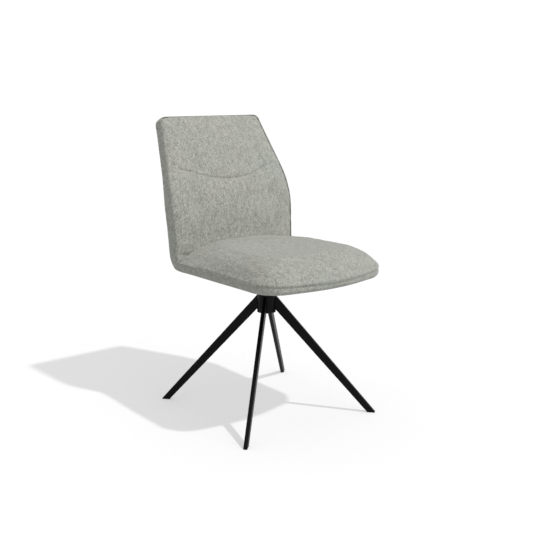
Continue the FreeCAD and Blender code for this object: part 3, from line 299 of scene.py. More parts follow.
BEND_Y = BACK_FRONT + BEND_HEIGHT * math.tan(LOW_LEAN)
BEND_Z = SEAM_Z + BEND_HEIGHT
TOP_Y = BEND_Y + HIGH_LENGTH * math.sin(HIGH_LEAN)
TOP_Z = BEND_Z + HIGH_LENGTH * math.cos(HIGH_LEAN)


def level_of(y, z):
    """Height measured square to the upper back."""
    return y * math.sin(HIGH_LEAN) + z * math.cos(HIGH_LEAN)


TOP_LEVEL = level_of(TOP_Y, TOP_Z)


def front_profile():
    """Side view of the line that the seat and the back cushion meet the band on."""
    dip = (APEX_FRONT - DIP_START) * DIP_SLOPE
    return rounded_line([
        (-APEX_FRONT, SEAM_Z - dip, 0),
        (-DIP_START, SEAM_Z, DIP_RADIUS),
        (BACK_FRONT, SEAM_Z, INNER_CORNER_RADIUS),
        (BEND_Y, BEND_Z, BEND_RADIUS),
        (TOP_Y, TOP_Z, 0),
    ])


def rear_profile():
    """Side view of the shell's outer line, from under the seat up the rear of the back."""
    low_y = BACK_FRONT + LOW_THICKNESS / math.cos(LOW_LEAN)
    high_y = BEND_Y + HIGH_THICKNESS / math.cos(HIGH_LEAN)
    low_slope = math.tan(LOW_LEAN)
    high_slope = math.tan(HIGH_LEAN)
    rise = (low_y - high_y + BEND_HEIGHT * high_slope) / (high_slope - low_slope)
    return rounded_line([
        (0, FLOOR_Z, 0),
        (low_y + (FLOOR_Z - SEAM_Z) * low_slope, FLOOR_Z, REAR_CORNER_RADIUS),
        (low_y + rise * low_slope, SEAM_Z + rise, REAR_BEND_RADIUS),
        (TOP_Y + HIGH_THICKNESS * math.cos(HIGH_LEAN), TOP_Z - HIGH_THICKNESS * math.sin(HIGH_LEAN), 0),
    ])


def plan_line():
    """Half of the seat's outline from above, from the front's middle to its side."""
    line = rounded_line([
        (-HALF_WIDTH, -CORNER_FRONT, 0),
        (0, -APEX_FRONT, BOW_RADIUS),
        (HALF_WIDTH, -CORNER_FRONT, CORNER_RADIUS),
        (HALF_WIDTH, BACK_FRONT - INNER_CORNER_RADIUS, 0),
    ])
    return line[line[:, 0] >= 0]


def back_line():
    """Half of the back's outline as (x, level), from low on its side to the middle of its top."""
    tip = HALF_WIDTH - SHOULDER * TAPER
    return rounded_line([
        (HALF_WIDTH, TOP_LEVEL - 2 * SHOULDER, 0),
        (HALF_WIDTH, TOP_LEVEL - SHOULDER, SIDE_RADIUS),
        (tip, TOP_LEVEL, TOP_CORNER_RADIUS),
        (0, TOP_LEVEL, 0),
    ])


def raised(flat, profile):
    """Points on a side profile at the levels of a flat (x, level) line, in order up the back."""
    levels = level_of(profile[:, 0], profile[:, 1])
    rising = profile[np.argmin(levels):]
    levels = levels[np.argmin(levels):]
    y = np.interp(flat[:, 1], levels, rising[:, 0])
    z = np.interp(flat[:, 1], levels, rising[:, 1])
    return np.stack([flat[:, 0], y, z], axis=1)


def mirrored(line):
    """A half line and its mirror image, joined where x is zero."""
    other = line[::-1] * np.array([-1, 1, 1])
    return np.concatenate([line, other])


def shell_line(profile, shift):
    """The seam round the seat and the back, moved into the shell by a shift across its side view."""
    moved = inset_profile(profile, shift)
    plan = plan_line()
    plan_z = np.interp(plan[:, 1], moved[:, 0], moved[:, 1])
    seat = np.stack([plan[:, 0], plan[:, 1], plan_z], axis=1)
    behind = moved[:, 0] > BACK_FRONT - INNER_CORNER_RADIUS - shift
    low = moved[behind & (moved[:, 1] < LOW_BACK_TOP)]
    side = np.stack([np.full(len(low), HALF_WIDTH), low[:, 0], low[:, 1]], axis=1)
    flat = back_line()
    flat = flat[flat[:, 1] > level_of(low[-1, 0], low[-1, 1])]
    back = raised(flat, moved[moved[:, 1] > BACK_LINE_LOW])
    return mirrored(spaced(np.concatenate([seat, side, back]), LINE_GAP))


def inset_profile(profile, shift):
    """A side profile moved square to itself, down under the seat and rearwards behind the back."""
    along = np.gradient(profile, axis=0)
    along /= np.maximum(np.linalg.norm(along, axis=1, keepdims=True), 1e-9)
    return profile + np.stack([along[:, 1], -along[:, 0]], axis=1) * shift


def rear_line():
    """The seam between the band and the rear panel, up one side and over the top."""
    profile = rear_profile()
    low = profile[(profile[:, 0] > REAR_SEAM_START) & (profile[:, 1] < LOW_BACK_TOP)]
    side = np.stack([np.full(len(low), HALF_WIDTH), low[:, 0], low[:, 1]], axis=1)
    flat = back_line()
    top = level_of(profile[-1, 0], profile[-1, 1])
    flat[:, 1] = np.minimum(flat[:, 1], top)
    flat = flat[flat[:, 1] > level_of(low[-1, 0], low[-1, 1])]
    back = raised(flat, profile[profile[:, 1] > SEAM_Z])
    return mirrored(spaced(np.concatenate([side, back]), LINE_GAP))


def channel_level(x):
    """Level of the sewn channel at a distance from the middle."""
    low = TOP_LEVEL - CHANNEL_DROP
    swing = math.asin(CHANNEL_HALF / CHANNEL_RADIUS)
    meeting = low + CHANNEL_RADIUS * (1 - math.cos(swing))
    centre_x = CHANNEL_HALF + CHANNEL_END_RADIUS * math.sin(swing)
    centre_level = meeting - CHANNEL_END_RADIUS * math.cos(swing)
    x = np.abs(x)
    middle = low + CHANNEL_RADIUS - np.sqrt(np.maximum(CHANNEL_RADIUS ** 2 - x ** 2, 0))
    end = centre_level + np.sqrt(np.maximum(CHANNEL_END_RADIUS ** 2 - (x - centre_x) ** 2, 0))
    return np.where(x < CHANNEL_HALF, middle, end)


# Materials.
def new_material(name, color, roughness, **more):
    material = bpy.data.materials.new(name)
    material.use_nodes = True
    shader = material.node_tree.nodes["Principled BSDF"]
    shader.inputs["Base Color"].default_value = (*color, 1)
    shader.inputs["Roughness"].default_value = roughness
    for socket, number in more.items():
        shader.inputs[socket.replace("_", " ")].default_value = number
    return material


def add_node(owner, kind, **settings):
    """A shader node in a material or in the world."""
    node = owner.node_tree.nodes.new(kind)
    for name, setting in settings.items():
        setattr(node, name, setting)
    return node


def join(owner, source, output, target, socket):
    owner.node_tree.links.new(source.outputs[output], target.inputs[socket])


def stretched_coordinates(material, scale, turn=(0, 0, 0)):
    """Object coordinates turned and stretched, so that a pattern can run along one direction."""
    place = add_node(material, "ShaderNodeTexCoord")
    mapping = add_node(material, "ShaderNodeMapping", vector_type="POINT")
    mapping.inputs["Rotation"].default_value = turn
    mapping.inputs["Scale"].default_value = scale
    join(material, place, "Object", mapping, "Vector")
    return mapping


def add_noise(material, coordinates, scale, detail, roughness):
    noise = add_node(material, "ShaderNodeTexNoise")
    noise.inputs["Scale"].default_value = scale
    noise.inputs["Detail"].default_value = detail
    noise.inputs["Roughness"].default_value = roughness
    join(material, coordinates, "Vector", noise, "Vector")
    return noise


def add_ramp(material, source, output, stops):
    """A colour ramp over a factor, from (position, colour) stops."""
    ramp = add_node(material, "ShaderNodeValToRGB")
    elements = ramp.color_ramp.elements
    while len(elements) < len(stops):
        elements.new(0.5)
    for element, (position, color) in zip(elements, stops):
        element.position = position
        element.color = (*color, 1)
    join(material, source, output, ramp, "Fac")
    return ramp


def add_bump(material, source, output, depth, strength, under=None):
    relief = add_node(material, "ShaderNodeBump")
    relief.inputs["Distance"].default_value = depth
    relief.inputs["Strength"].default_value = strength
    join(material, source, output, relief, "Height")
    if under is not None:
        join(material, under, "Normal", relief, "Normal")
    return relief


def mix_color(material, blend, factor, first, second):
    mix = add_node(material, "ShaderNodeMix", data_type="RGBA", blend_type=blend)
    mix.inputs["Factor"].default_value = factor
    material.node_tree.links.new(first, mix.inputs["A"])
    material.node_tree.links.new(second, mix.inputs["B"])
    return mix.outputs["Result"]


FABRIC_DARK = (0.23, 0.235, 0.212)
FABRIC_LIGHT = (0.56, 0.567, 0.52)


def make_fabric(name, stretch, turn=(0, 0, 0)):
    """A looped light grey weave: flecks and short streaks of yarn, raised loops and faint patches."""
    material = new_material(name, FABRIC_LIGHT, 0.92, Sheen_Weight=0.25, Sheen_Roughness=0.55,
                            Specular_IOR_Level=0.2)
    shader = material.node_tree.nodes["Principled BSDF"]
    grain = stretched_coordinates(material, stretch, turn)
    even = stretched_coordinates(material, (1, 1, 1))
    flecks = add_noise(material, grain, scale=290, detail=4, roughness=0.75)
    yarn = add_ramp(material, flecks, "Fac", [(0.36, FABRIC_DARK), (0.64, FABRIC_LIGHT)])
    patches = add_noise(material, grain, scale=75, detail=3, roughness=0.6)
    shade = add_ramp(material, patches, "Fac", [(0.34, (0.8, 0.8, 0.8)), (0.66, (1.06, 1.06, 1.06))])
    color = mix_color(material, "MULTIPLY", 1.0, yarn.outputs["Color"], shade.outputs["Color"])
    wide = add_noise(material, even, scale=9, detail=2, roughness=0.5)
    warmth = add_ramp(material, wide, "Fac", [(0.35, (1, 0.985, 0.965)), (0.65, (0.985, 1, 0.985))])
    color = mix_color(material, "MULTIPLY", 1.0, color, warmth.outputs["Color"])
    material.node_tree.links.new(color, shader.inputs["Base Color"])
    loops = add_node(material, "ShaderNodeTexVoronoi", feature="F1")
    loops.inputs["Scale"].default_value = 620
    join(material, grain, "Vector", loops, "Vector")
    fine = add_bump(material, loops, "Distance", depth=0.0006, strength=0.5)
    coarse = add_bump(material, flecks, "Fac", depth=0.0012, strength=0.55, under=fine)
    join(material, coarse, "Normal", shader, "Normal")
    return material


def make_metal(name, color, roughness, grain, depth, metallic, specular):
    """A coated, plated or moulded surface, finely uneven, with a little change in gloss."""
    material = new_material(name, color, roughness, Metallic=metallic, Specular_IOR_Level=specular)
    shader = material.node_tree.nodes["Principled BSDF"]
    even = stretched_coordinates(material, (1, 1, 1))
    peel = add_noise(material, even, scale=grain, detail=3, roughness=0.5)
    relief = add_bump(material, peel, "Fac", depth=depth, strength=0.5)
    join(material, relief, "Normal", shader, "Normal")
    smears = add_noise(material, even, scale=35, detail=3, roughness=0.6)
    gloss = add_node(material, "ShaderNodeMapRange")
    gloss.inputs["To Min"].default_value = roughness - 0.06
    gloss.inputs["To Max"].default_value = roughness + 0.08
    join(material, smears, "Fac", gloss, "Value")
    join(material, gloss, "Result", shader, "Roughness")
    return material


def make_plywood():
    material = new_material("birch_plywood", (0.55, 0.4, 0.25), 0.6)
    shader = material.node_tree.nodes["Principled BSDF"]
    grain = stretched_coordinates(material, (18, 1.5, 18))
    rings = add_noise(material, grain, scale=9, detail=5, roughness=0.6)
    color = add_ramp(material, rings, "Fac", [(0.3, (0.44, 0.29, 0.16)), (0.7, (0.62, 0.46, 0.29))])
    join(material, color, "Color", shader, "Base Color")
    relief = add_bump(material, rings, "Fac", depth=0.0003, strength=0.4)
    join(material, relief, "Normal", shader, "Normal")
    return material


def make_lining_material():
    """Thin black non-woven cloth with a dimpled surface."""
    material = new_material("lining_cloth", (0.012, 0.012, 0.013), 0.85, Sheen_Weight=0.15)
    shader = material.node_tree.nodes["Principled BSDF"]
    even = stretched_coordinates(material, (1, 1, 1))
    dimples = add_node(material, "ShaderNodeTexVoronoi", feature="F1")
    dimples.inputs["Scale"].default_value = 420
    join(material, even, "Vector", dimples, "Vector")
    relief = add_bump(material, dimples, "Distance", depth=0.0005, strength=0.6)
    join(material, relief, "Normal", shader, "Normal")
    return material


SEAT_GRAIN = make_fabric("seat_fabric", (1.6, 0.7, 1), (0, 0, math.radians(28)))
BACK_GRAIN = make_fabric("back_fabric", (1.5, 1, 0.6))
BAND_GRAIN = make_fabric("band_fabric", (1, 1, 1))

# Metals and nylon: slot, name, colour, roughness, grain, relief, metallic and specular level.
METALS = [
    ("black_steel", "black_powder_coat", (0.003, 0.003, 0.003), 0.36, 1400, 0.00004, 0, 0.09),
    ("black_nylon", "black_nylon", (0.012, 0.012, 0.012), 0.55, 700, 0.00005, 0, 0.3),
    ("bearing_steel", "ground_steel", (0.6, 0.6, 0.61), 0.18, 900, 0.00001, 1, 0.5),
    ("cage_brass", "brass_sheet", (0.72, 0.5, 0.2), 0.3, 600, 0.00002, 1, 0.5),
    ("zinc_steel", "zinc_plate", (0.62, 0.63, 0.65), 0.32, 800, 0.00002, 1, 0.5),
]
NODE_MATERIALS = {slot: make_metal(*look) for slot, *look in METALS}
NODE_MATERIALS["plywood"] = make_plywood()
NODE_MATERIALS["lining_cloth"] = make_lining_material()


def finish_nodes():
    """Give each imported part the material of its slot."""
    for part in frame["record"]["subparts"]:
        material = NODE_MATERIALS.get(part["material_slot"])
        if material is None:
            continue
        mesh = nodes[part["node"]].data
        mesh.materials.clear()
        mesh.materials.append(material)


# Upholstery.
def place_piece(obj, material, node):
    obj.data.materials.clear()
    obj.data.materials.append(material)
    obj.data.shade_smooth()
    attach(obj, "seat")
    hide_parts(node)


FRONT_SEAM = shell_line(front_profile(), 0)
REAR_SEAM = rear_line()


def roll_edges(obj, seam, depth, width):
    """Draw a piece in along a seam, so that its edge rolls down to the stitching."""
    points = get_points(obj.data)
    drawn = depth * bump(distance_to(points, seam), width)
    set_points(obj.data, points - get_normals(obj.data) * drawn[:, None])


def fill_out(points, side_fill):
    """Foam and fabric stand a little proud round the back's edge and draw in at its lower rear."""
    x, y, z = points.T
    level = level_of(y, z)
    half = HALF_WIDTH - np.maximum(level - TOP_LEVEL + SHOULDER, 0) * TAPER
    above = step_between(z, FILL_START, FILL_FULL)
    side = above * step_between(np.abs(x), half - SIDE_REACH, half - EDGE_GAP)
    top = step_between(level, TOP_LEVEL - TOP_REACH, TOP_LEVEL - EDGE_GAP)
    middle = BEND_Y + (z - BEND_Z) * np.where(z > BEND_Z, math.tan(HIGH_LEAN), math.tan(LOW_LEAN))
    behind = step_between(y - middle, BEHIND_START, BEHIND_FULL)
    moved = points.copy()
    moved[:, 0] += np.sign(x) * side_fill * side
    moved[:, 1] += REAR_FILL * above * behind + TOP_FILL * math.sin(HIGH_LEAN) * top
    moved[:, 1] -= CORNER_DRAW * behind * bump(z - CORNER_HEIGHT, CORNER_HALF)
    moved[:, 2] += TOP_FILL * math.cos(HIGH_LEAN) * top
    return moved


def outward(points):
    """Level directions from the middle of the seat straight out through its rim."""
    out = points[:, :2].copy()
    out[:, 0] = np.sign(out[:, 0]) * np.maximum(np.abs(out[:, 0]) - (HALF_WIDTH - CORNER_RADIUS), 0)
    out[:, 1] = np.minimum(out[:, 1] + CORNER_FRONT - CORNER_RADIUS, 0)
    return out / np.maximum(np.linalg.norm(out, axis=1, keepdims=True), 1e-6)


def make_seat_pad():
    """The crowned seat: full foam that rounds down to the seam, a little sunk where people sit."""
    pad = remeshed("seat_cushion", "seat_pad", PAD_VOXEL, PAD_SMOOTHING)
    points = get_points(pad.data)
    low = points[:, 2] < SEAM_Z + SEAT_HELD_RISE
    rear = points[:, 1] > BACK_FRONT - SEAT_HELD_REAR
    held = low | rear
    set_points(pad.data, points - get_normals(pad.data) * np.where(held, 0, START_SMALLER)[:, None])
    swell(pad, held, SEAT_CAP)
    subdivide(pad)
    points = get_points(pad.data)
    overhang = OVERHANG * bump(points[:, 2] - SEAM_Z - OVERHANG_RISE, OVERHANG_HALF)
    overhang *= 1 - step_between(points[:, 1], OVERHANG_FADE, OVERHANG_END)
    points[:, :2] += outward(points) * overhang[:, None]
    set_points(pad.data, points)
    roll_edges(pad, FRONT_SEAM, depth=1.2 * MM, width=4 * MM)
    points = get_points(pad.data)
    sat_on = bump(points[:, 0], SAT_HALF_WIDTH) * bump(points[:, 1] - SAT_MIDDLE, SAT_HALF_LENGTH)
    points[:, 2] -= np.where(points[:, 2] > SEAM_Z, SAT_DEPTH * sat_on, 0)
    set_points(pad.data, points)
    place_piece(pad, SEAT_GRAIN, "seat_cushion")


# Soft hollows beside the middle of the back: x, height, half width, half height and depth.
HOLLOWS = [
    (-122, 772, 22, 44, 6.0),
    (-150, 640, 26, 46, 7.0),
    (127, 758, 21, 36, 6.5),
    (134, 715, 20, 24, 5.0),
    (142, 634, 24, 46, 8.0),
]


def make_back_pad():
    """The back's front pad: a full middle between side rolls, crossed by a sewn channel."""
    pad = remeshed("back_cushion", "back_pad", PAD_VOXEL, PAD_SMOOTHING)
    points = get_points(pad.data)
    normals = get_normals(pad.data)
    held = (normals[:, 1] > BACK_HELD_TURN) | (points[:, 2] < SEAM_Z + BACK_HELD_RISE)
    set_points(pad.data, points - normals * np.where(held, 0, START_SMALLER)[:, None])
    swell(pad, held, BACK_CAP)
    subdivide(pad)
    roll_edges(pad, FRONT_SEAM, depth=1.2 * MM, width=6 * MM)
    points = get_points(pad.data)
    normals = get_normals(pad.data)
    x, z = points[:, 0], points[:, 2]
    level = level_of(points[:, 1], z)
    front = step_between(-normals[:, 1], *FRONT_TURN)
    crown = 1 - (x / HALF_WIDTH) ** 2
    rolled = np.sin(math.pi / 2 * np.clip((z - CROWN_START) / CROWN_RISE, 0, 1))
    full = step_between(z, LUMBAR_START, LUMBAR_FULL)
    depth = -LUMBAR_FILL * crown * np.maximum(full - rolled, 0)
    for spot_x, spot_z, wide, tall, sunk in HOLLOWS:
        depth += sunk * MM * bump(x - spot_x * MM, wide * MM) * bump(z - spot_z * MM, tall * MM)
    depth -= MIDDLE_FILL * bump(x, MIDDLE_HALF_WIDTH) * bump(z - MIDDLE_HEIGHT, MIDDLE_HALF_HEIGHT)
    away = level - channel_level(x)
    reach = 1 - step_between(np.abs(x), CHANNEL_SPAN - CHANNEL_FADE, CHANNEL_SPAN + CHANNEL_OVERRUN)
    pull = 1 - PUCKER + PUCKER * np.cos(x / PUCKER_LENGTH)
    valley = VALLEY_DEPTH * bump(away, VALLEY_WIDTH) * pull
    groove = GROOVE_DEPTH * bump(away, GROOVE_WIDTH)
    depth += reach * (valley + groove)
    set_points(pad.data, fill_out(points - normals * (depth * front)[:, None], PAD_FILL))
    place_piece(pad, BACK_GRAIN, "back_cushion")


def tuck_rim(points):
    """Slope the band in under the seat and round its lower rim, which rises a little at the front."""
    rise = points[:, 2] - FLOOR_Z
    below = np.clip(1 - rise / (SEAM_Z - FLOOR_Z), 0, 1)
    rear_fade = 1 - step_between(points[:, 1], TUCK_FULL, TUCK_END)
    rounding = np.clip(RIM_RADIUS - rise, 0, RIM_RADIUS)
    inset = TUCK * below ** TUCK_POWER * rear_fade + RIM_RADIUS - np.sqrt(RIM_RADIUS ** 2 - rounding ** 2)
    points[:, :2] -= outward(points) * inset[:, None]
    points[:, 2] += RIM_LIFT * below ** 2 * step_between(-points[:, 1], LIFT_START, LIFT_FULL)
    return points


def make_side_band():
    """The band round the seat and over the back, full between its seams and tucked under below."""
    band = remeshed("side_band", "side_band_cover", BAND_VOXEL, BAND_SMOOTHING)
    roll_edges(band, FRONT_SEAM, depth=2.4 * MM, width=5 * MM)
    roll_edges(band, REAR_SEAM, depth=1.6 * MM, width=5 * MM)
    groove = shell_line(front_profile(), STITCH_OFFSET)
    roll_edges(band, groove, depth=0.9 * MM, width=2.2 * MM)
    set_points(band.data, fill_out(tuck_rim(get_points(band.data)), BAND_FILL))
    place_piece(band, BAND_GRAIN, "side_band")
    return band, groove


def make_rear_panel():
    panel = remeshed("rear_panel", "rear_panel_cover", PAD_VOXEL, PAD_SMOOTHING)
    subdivide(panel)
    roll_edges(panel, REAR_SEAM, depth=1.2 * MM, width=6 * MM)
    set_points(panel.data, fill_out(get_points(panel.data), BAND_FILL))
    place_piece(panel, BACK_GRAIN, "rear_panel")


# Section of the fabric turned under the board, in millimetres: inset from the rim, rise over the board.
TURNED_PROFILE = [
    (5, 5.5), (7, 2.6), (9.5, 0.9), (12.5, -0.1), (17, -0.5), (25, -0.6),
    (25, 0.2), (14, 0.4), (9, 3.4),
]
TURNED_GAP = 4 * MM


def make_turned_edge():
    """The band's fabric turned under the seat board, from the rim to below the lining's edge."""
    plan = plan_line()
    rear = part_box("seat_board")[1].y
    plan = plan[plan[:, 1] < rear]
    plan = np.concatenate([plan, [[HALF_WIDTH, rear]]])
    plan = spaced(np.concatenate([plan[::-1] * np.array([-1, 1]), plan[1:]]), TURNED_GAP)
    along = np.gradient(plan, axis=0)
    along /= np.linalg.norm(along, axis=1, keepdims=True)
    inward = np.stack([-along[:, 1], along[:, 0]], axis=1)
    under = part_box("seat_board")[0].z
    verts = []
    for inset, rise in TURNED_PROFILE:
        spots = plan + inward * inset * MM
        verts += [(x, y, under + rise * MM) for x, y in spots]
    count = len(plan)
    sides = len(TURNED_PROFILE)
    faces = []
    for side in range(sides):
        here = side * count
        there = (side + 1) % sides * count
        faces += [(here + i, here + i + 1, there + i + 1, there + i) for i in range(count - 1)]
    faces.append(tuple(side * count for side in range(sides)))
    faces.append(tuple(side * count + count - 1 for side in reversed(range(sides))))
    mesh = bpy.data.meshes.new("turned_edge")
    mesh.from_pydata(verts, [], faces)
    edge = link(bpy.data.objects.new("turned_edge", mesh))
    mesh.materials.append(BAND_GRAIN)
    mesh.shade_smooth()
    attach(edge, "seat")


# The lining's outline lies further out than this, and its screw holes nearer.
LINING_RIM = 170 * MM
LINING_GAP = 6 * MM
LINING_DEPTH = 0.2 * MM
HEM_RINGS = 7
RIPPLES = 14
RIPPLE_SHARE = 0.35
RIPPLE_TURN = 0.35


def make_lining():
    """The thin cloth under the seat: stretched over the board, with a turned hem and a slight sag."""
    low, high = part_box("seat_lining")
    centre = np.array([0, (low.y + high.y) / 2])
    flat = get_points(nodes["seat_lining"].data)[:, :2] - centre
    rim = flat[np.linalg.norm(flat, axis=1) > LINING_RIM]
    rim = rim[np.argsort(np.arctan2(rim[:, 1], rim[:, 0]))]
    outline = spaced(np.concatenate([rim, rim[:1]]), LINING_GAP)
    count = len(outline)
    top = high.z - LINING_DEPTH
    hem = 0.93
    # Rings from the turned hem to the middle: share of the outline, and drop in millimetres.
    shares = [hem, hem, 0.985, 1, 1, 0.985, hem, 0.9, 0.84, 0.77, 0.7, 0.6, 0.5, 0.4, 0.3, 0.2, 0.1]
    drops = [0.3, 0.9, 1.1, 0.9, 0.3, 0, 0, 0.9, 1.7, 2.1, 1.8, 0.9, 0.3, 0, 0, 0, 0]
    verts = []
    for ring, (share, drop) in enumerate(zip(shares, drops)):
        ripple = np.sin(np.arange(count) * 2 * math.pi * RIPPLES / count + ring * RIPPLE_TURN)
        sag = drop * MM * (1 + RIPPLE_SHARE * ripple * (ring >= HEM_RINGS))
        spots = outline * share + centre
        verts += [(x, y, top - fall) for (x, y), fall in zip(spots, sag)]
    faces = []
    for ring in range(len(shares) - 1):
        for index in range(count):
            after = (index + 1) % count
            faces.append((ring * count + index, ring * count + after,
                          (ring + 1) * count + after, (ring + 1) * count + index))
    last = (len(shares) - 1) * count
    faces.append(tuple(last + index for index in range(count)))
    mesh = bpy.data.meshes.new("underside_cloth")
    mesh.from_pydata(verts, [], faces)
    cloth = link(bpy.data.objects.new("underside_cloth", mesh))
    place_piece(cloth, NODE_MATERIALS["lining_cloth"], "seat_lining")
    after = np.roll(outline, -1, axis=0)


# Rings of one stitch, in millimetres: shift along it, radius and lift off the fabric.
STITCH_RINGS = [(-1.6, 0.12, -0.15), (-1.2, 0.34, 0.1), (1.2, 0.34, 0.1), (1.6, 0.12, -0.15)]
STITCH_PITCH = 4.2 * MM
STITCH_JUMP = 6 * MM


def make_stitches(band, path):
    """A row of short stitches lying on the band, in its groove."""
    tree = BVHTree.FromObject(band, bpy.context.evaluated_depsgraph_get())
    marks = spaced(path, STITCH_PITCH)
    verts = []
    faces = []
    sides = 6
    last = len(STITCH_RINGS) - 1
    for start, after in zip(marks, marks[1:]):
        along = Vector(after - start)
        if along.length > STITCH_JUMP:
            continue
        spot, normal, _, _ = tree.find_nearest(Vector(start))
        along = (along - normal * along.dot(normal)).normalized()
        across = normal.cross(along)
        base = len(verts)
        for shift, radius, lift in STITCH_RINGS:
            centre = spot + along * shift * MM + normal * lift * MM
            for side in range(sides):
                angle = 2 * math.pi * side / sides
                spoke = across * math.cos(angle) + normal * math.sin(angle)
                verts.append(centre + spoke * radius * MM)
        for ring in range(last):
            for side in range(sides):
                a = base + ring * sides + side
                b = base + ring * sides + (side + 1) % sides
                faces.append((a, b, b + sides, a + sides))
        faces.append(tuple(base + side for side in range(sides))[::-1])
        faces.append(tuple(base + last * sides + side for side in range(sides)))
    mesh = bpy.data.meshes.new("band_stitches")
    mesh.from_pydata([tuple(vert) for vert in verts], [], faces)
    row = link(bpy.data.objects.new("band_stitches", mesh))
    thread = make_metal("thread", (0.4, 0.41, 0.37), roughness=0.8, grain=2500, depth=0.0001,
                        metallic=0, specular=0.2)
    mesh.materials.append(thread)
    mesh.shade_smooth()
    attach(row, "seat")


# Welds where the legs meet the hub.
HUB_RADIUS = (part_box("hub_tube")[1].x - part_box("hub_tube")[0].x) / 2
LEG_HALF_WIDTH = 6 * MM
LEG_ROOT_LOW = 312 * MM
LEG_ROOT_HIGH = 356 * MM
LEG_EDGE_RADIUS = 2.5 * MM
WELD_RADIUS = 1.1 * MM
WELD_LIFT = 0.1 * MM
WELD_GAP = 0.8 * MM
WELD_RIPPLE = 0.16
WELD_WAVE = 1.9
FIRST_LEG = math.radians(41)
LEGS = ["rear_right", "rear_left", "front_left", "front_right"]


def make_weld(corner, angle):
    """A rippled bead round the root of a leg, lying on the hub."""
    root = rounded_line([
        (0, LEG_ROOT_LOW, 0),
        (LEG_HALF_WIDTH, LEG_ROOT_LOW, LEG_EDGE_RADIUS),
        (LEG_HALF_WIDTH, LEG_ROOT_HIGH, LEG_EDGE_RADIUS),
        (0, LEG_ROOT_HIGH, 0),
    ])
    half = spaced(root, WELD_GAP)
    loop = np.concatenate([half, half[::-1] * np.array([-1, 1])])
    curve = bpy.data.curves.new(f"weld_{corner}", "CURVE")
    curve.dimensions = "3D"
    curve.bevel_depth = WELD_RADIUS
    curve.bevel_resolution = 3
    line = curve.splines.new("POLY")
    line.points.add(len(loop) - 1)
    line.use_cyclic_u = True
    reach = HUB_RADIUS + WELD_LIFT
    for index, (across, height) in enumerate(loop):
        turn = angle + across / HUB_RADIUS
        line.points[index].co = (reach * math.cos(turn), reach * math.sin(turn), height, 1)
        line.points[index].radius = 1 + WELD_RIPPLE * math.sin(index * WELD_WAVE)
    bead = link(bpy.data.objects.new(f"weld_{corner}", curve))
    curve.materials.append(NODE_MATERIALS["black_steel"])
    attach(bead, "base")


# Stage, light and camera.
WORLD_LIGHT = 0.5
FLOOR_GLOW = 0.43
FLOOR_COLOR = (0.6, 0.6, 0.6, 1)
FLOOR_SIZE = 60
FLOOR_DROP = 0.5 * MM
WHITE = (1, 1, 1, 1)


def make_floor():
    """A white floor that keeps the chair's shadow."""
    bpy.ops.mesh.primitive_plane_add(size=FLOOR_SIZE, location=(0, 0, -FLOOR_DROP))
    floor = bpy.context.object
    floor.name = "floor"
    material = bpy.data.materials.new("white_floor")
    material.use_nodes = True
    material.node_tree.nodes.clear()
    output = add_node(material, "ShaderNodeOutputMaterial")
    diffuse = add_node(material, "ShaderNodeBsdfDiffuse")
    diffuse.inputs["Color"].default_value = FLOOR_COLOR
    glow = add_node(material, "ShaderNodeEmission")
    glow.inputs["Color"].default_value = WHITE
    rays = add_node(material, "ShaderNodeLightPath")
    seen = add_node(material, "ShaderNodeMath", operation="MAXIMUM")
    join(material, rays, "Is Camera Ray", seen, 0)
    join(material, rays, "Is Glossy Ray", seen, 1)
    level = add_node(material, "ShaderNodeMath", operation="MULTIPLY")
    level.inputs[1].default_value = FLOOR_GLOW
    join(material, seen, 0, level, 0)
    join(material, level, 0, glow, "Strength")
    both = add_node(material, "ShaderNodeAddShader")
    join(material, diffuse, 0, both, 0)
    join(material, glow, 0, both, 1)
    join(material, both, 0, output, "Surface")
    floor.data.materials.append(material)


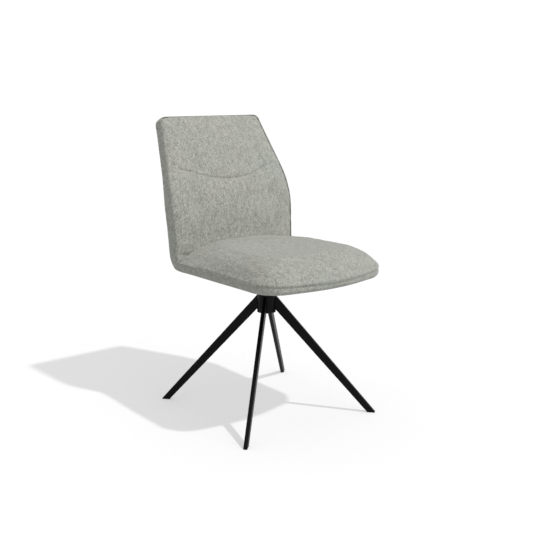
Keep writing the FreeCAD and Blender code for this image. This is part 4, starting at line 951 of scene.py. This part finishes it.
def make_world():
    """Even studio light, with pure white where the camera or a reflection sees the background."""
    world = bpy.data.worlds.new("studio")
    world.use_nodes = True
    background = world.node_tree.nodes["Background"]
    background.inputs["Color"].default_value = WHITE
    rays = add_node(world, "ShaderNodeLightPath")
    first = add_node(world, "ShaderNodeMath", operation="MAXIMUM")
    second = add_node(world, "ShaderNodeMath", operation="MAXIMUM")
    join(world, rays, "Is Camera Ray", first, 0)
    join(world, rays, "Is Glossy Ray", first, 1)
    join(world, first, 0, second, 0)
    join(world, rays, "Is Transmission Ray", second, 1)
    level = add_node(world, "ShaderNodeMapRange")
    level.inputs["To Min"].default_value = WORLD_LIGHT
    level.inputs["To Max"].default_value = 1.0
    join(world, second, 0, level, "Value")
    join(world, level, "Result", background, "Strength")
    bpy.context.scene.world = world


# Lamps: name, strength, angle in degrees and the direction that the light comes from.
LAMPS = [
    ("key", 1.6, 2, (0.265, -0.60, 1.0)),
    ("fill", 0.65, 70, (0.15, -0.95, 0.27)),
]


def make_lights():
    """A high key light from the front right, a broad one from the front, and the world's even light."""
    for name, strength, angle, source in LAMPS:
        sun = bpy.data.lights.new(name, "SUN")
        sun.energy = strength
        sun.angle = math.radians(angle)
        lamp = link(bpy.data.objects.new(name, sun))
        lamp.rotation_mode = "QUATERNION"
        lamp.rotation_quaternion = Vector(source).to_track_quat("Z", "Y")
    make_world()


# The photograph's viewpoint, about 2.5 m from the chair.
AZIMUTH = math.radians(-39)
PITCH = math.radians(11.986)
EYE_REACH = 2.4643
EYE_HEIGHT = 0.967
LENS = 56.26
SENSOR = 36


def make_camera():
    camera = bpy.data.cameras.new("camera")
    camera.sensor_width = SENSOR
    camera.lens = LENS
    eye = link(bpy.data.objects.new("camera", camera))
    eye.location = (EYE_REACH * math.sin(AZIMUTH), -EYE_REACH * math.cos(AZIMUTH), EYE_HEIGHT)
    eye.rotation_euler = (math.pi / 2 - PITCH, 0, AZIMUTH)
    bpy.context.scene.camera = eye


finish_nodes()
make_seat_pad()
make_back_pad()
side_band, stitch_path = make_side_band()
make_rear_panel()
make_turned_edge()
make_lining()
make_stitches(side_band, stitch_path)
for quarter, corner in enumerate(LEGS):
    make_weld(corner, FIRST_LEG + quarter * math.pi / 2)
make_floor()
make_lights()
make_camera()
bpy.context.scene.view_settings.view_transform = "Standard"
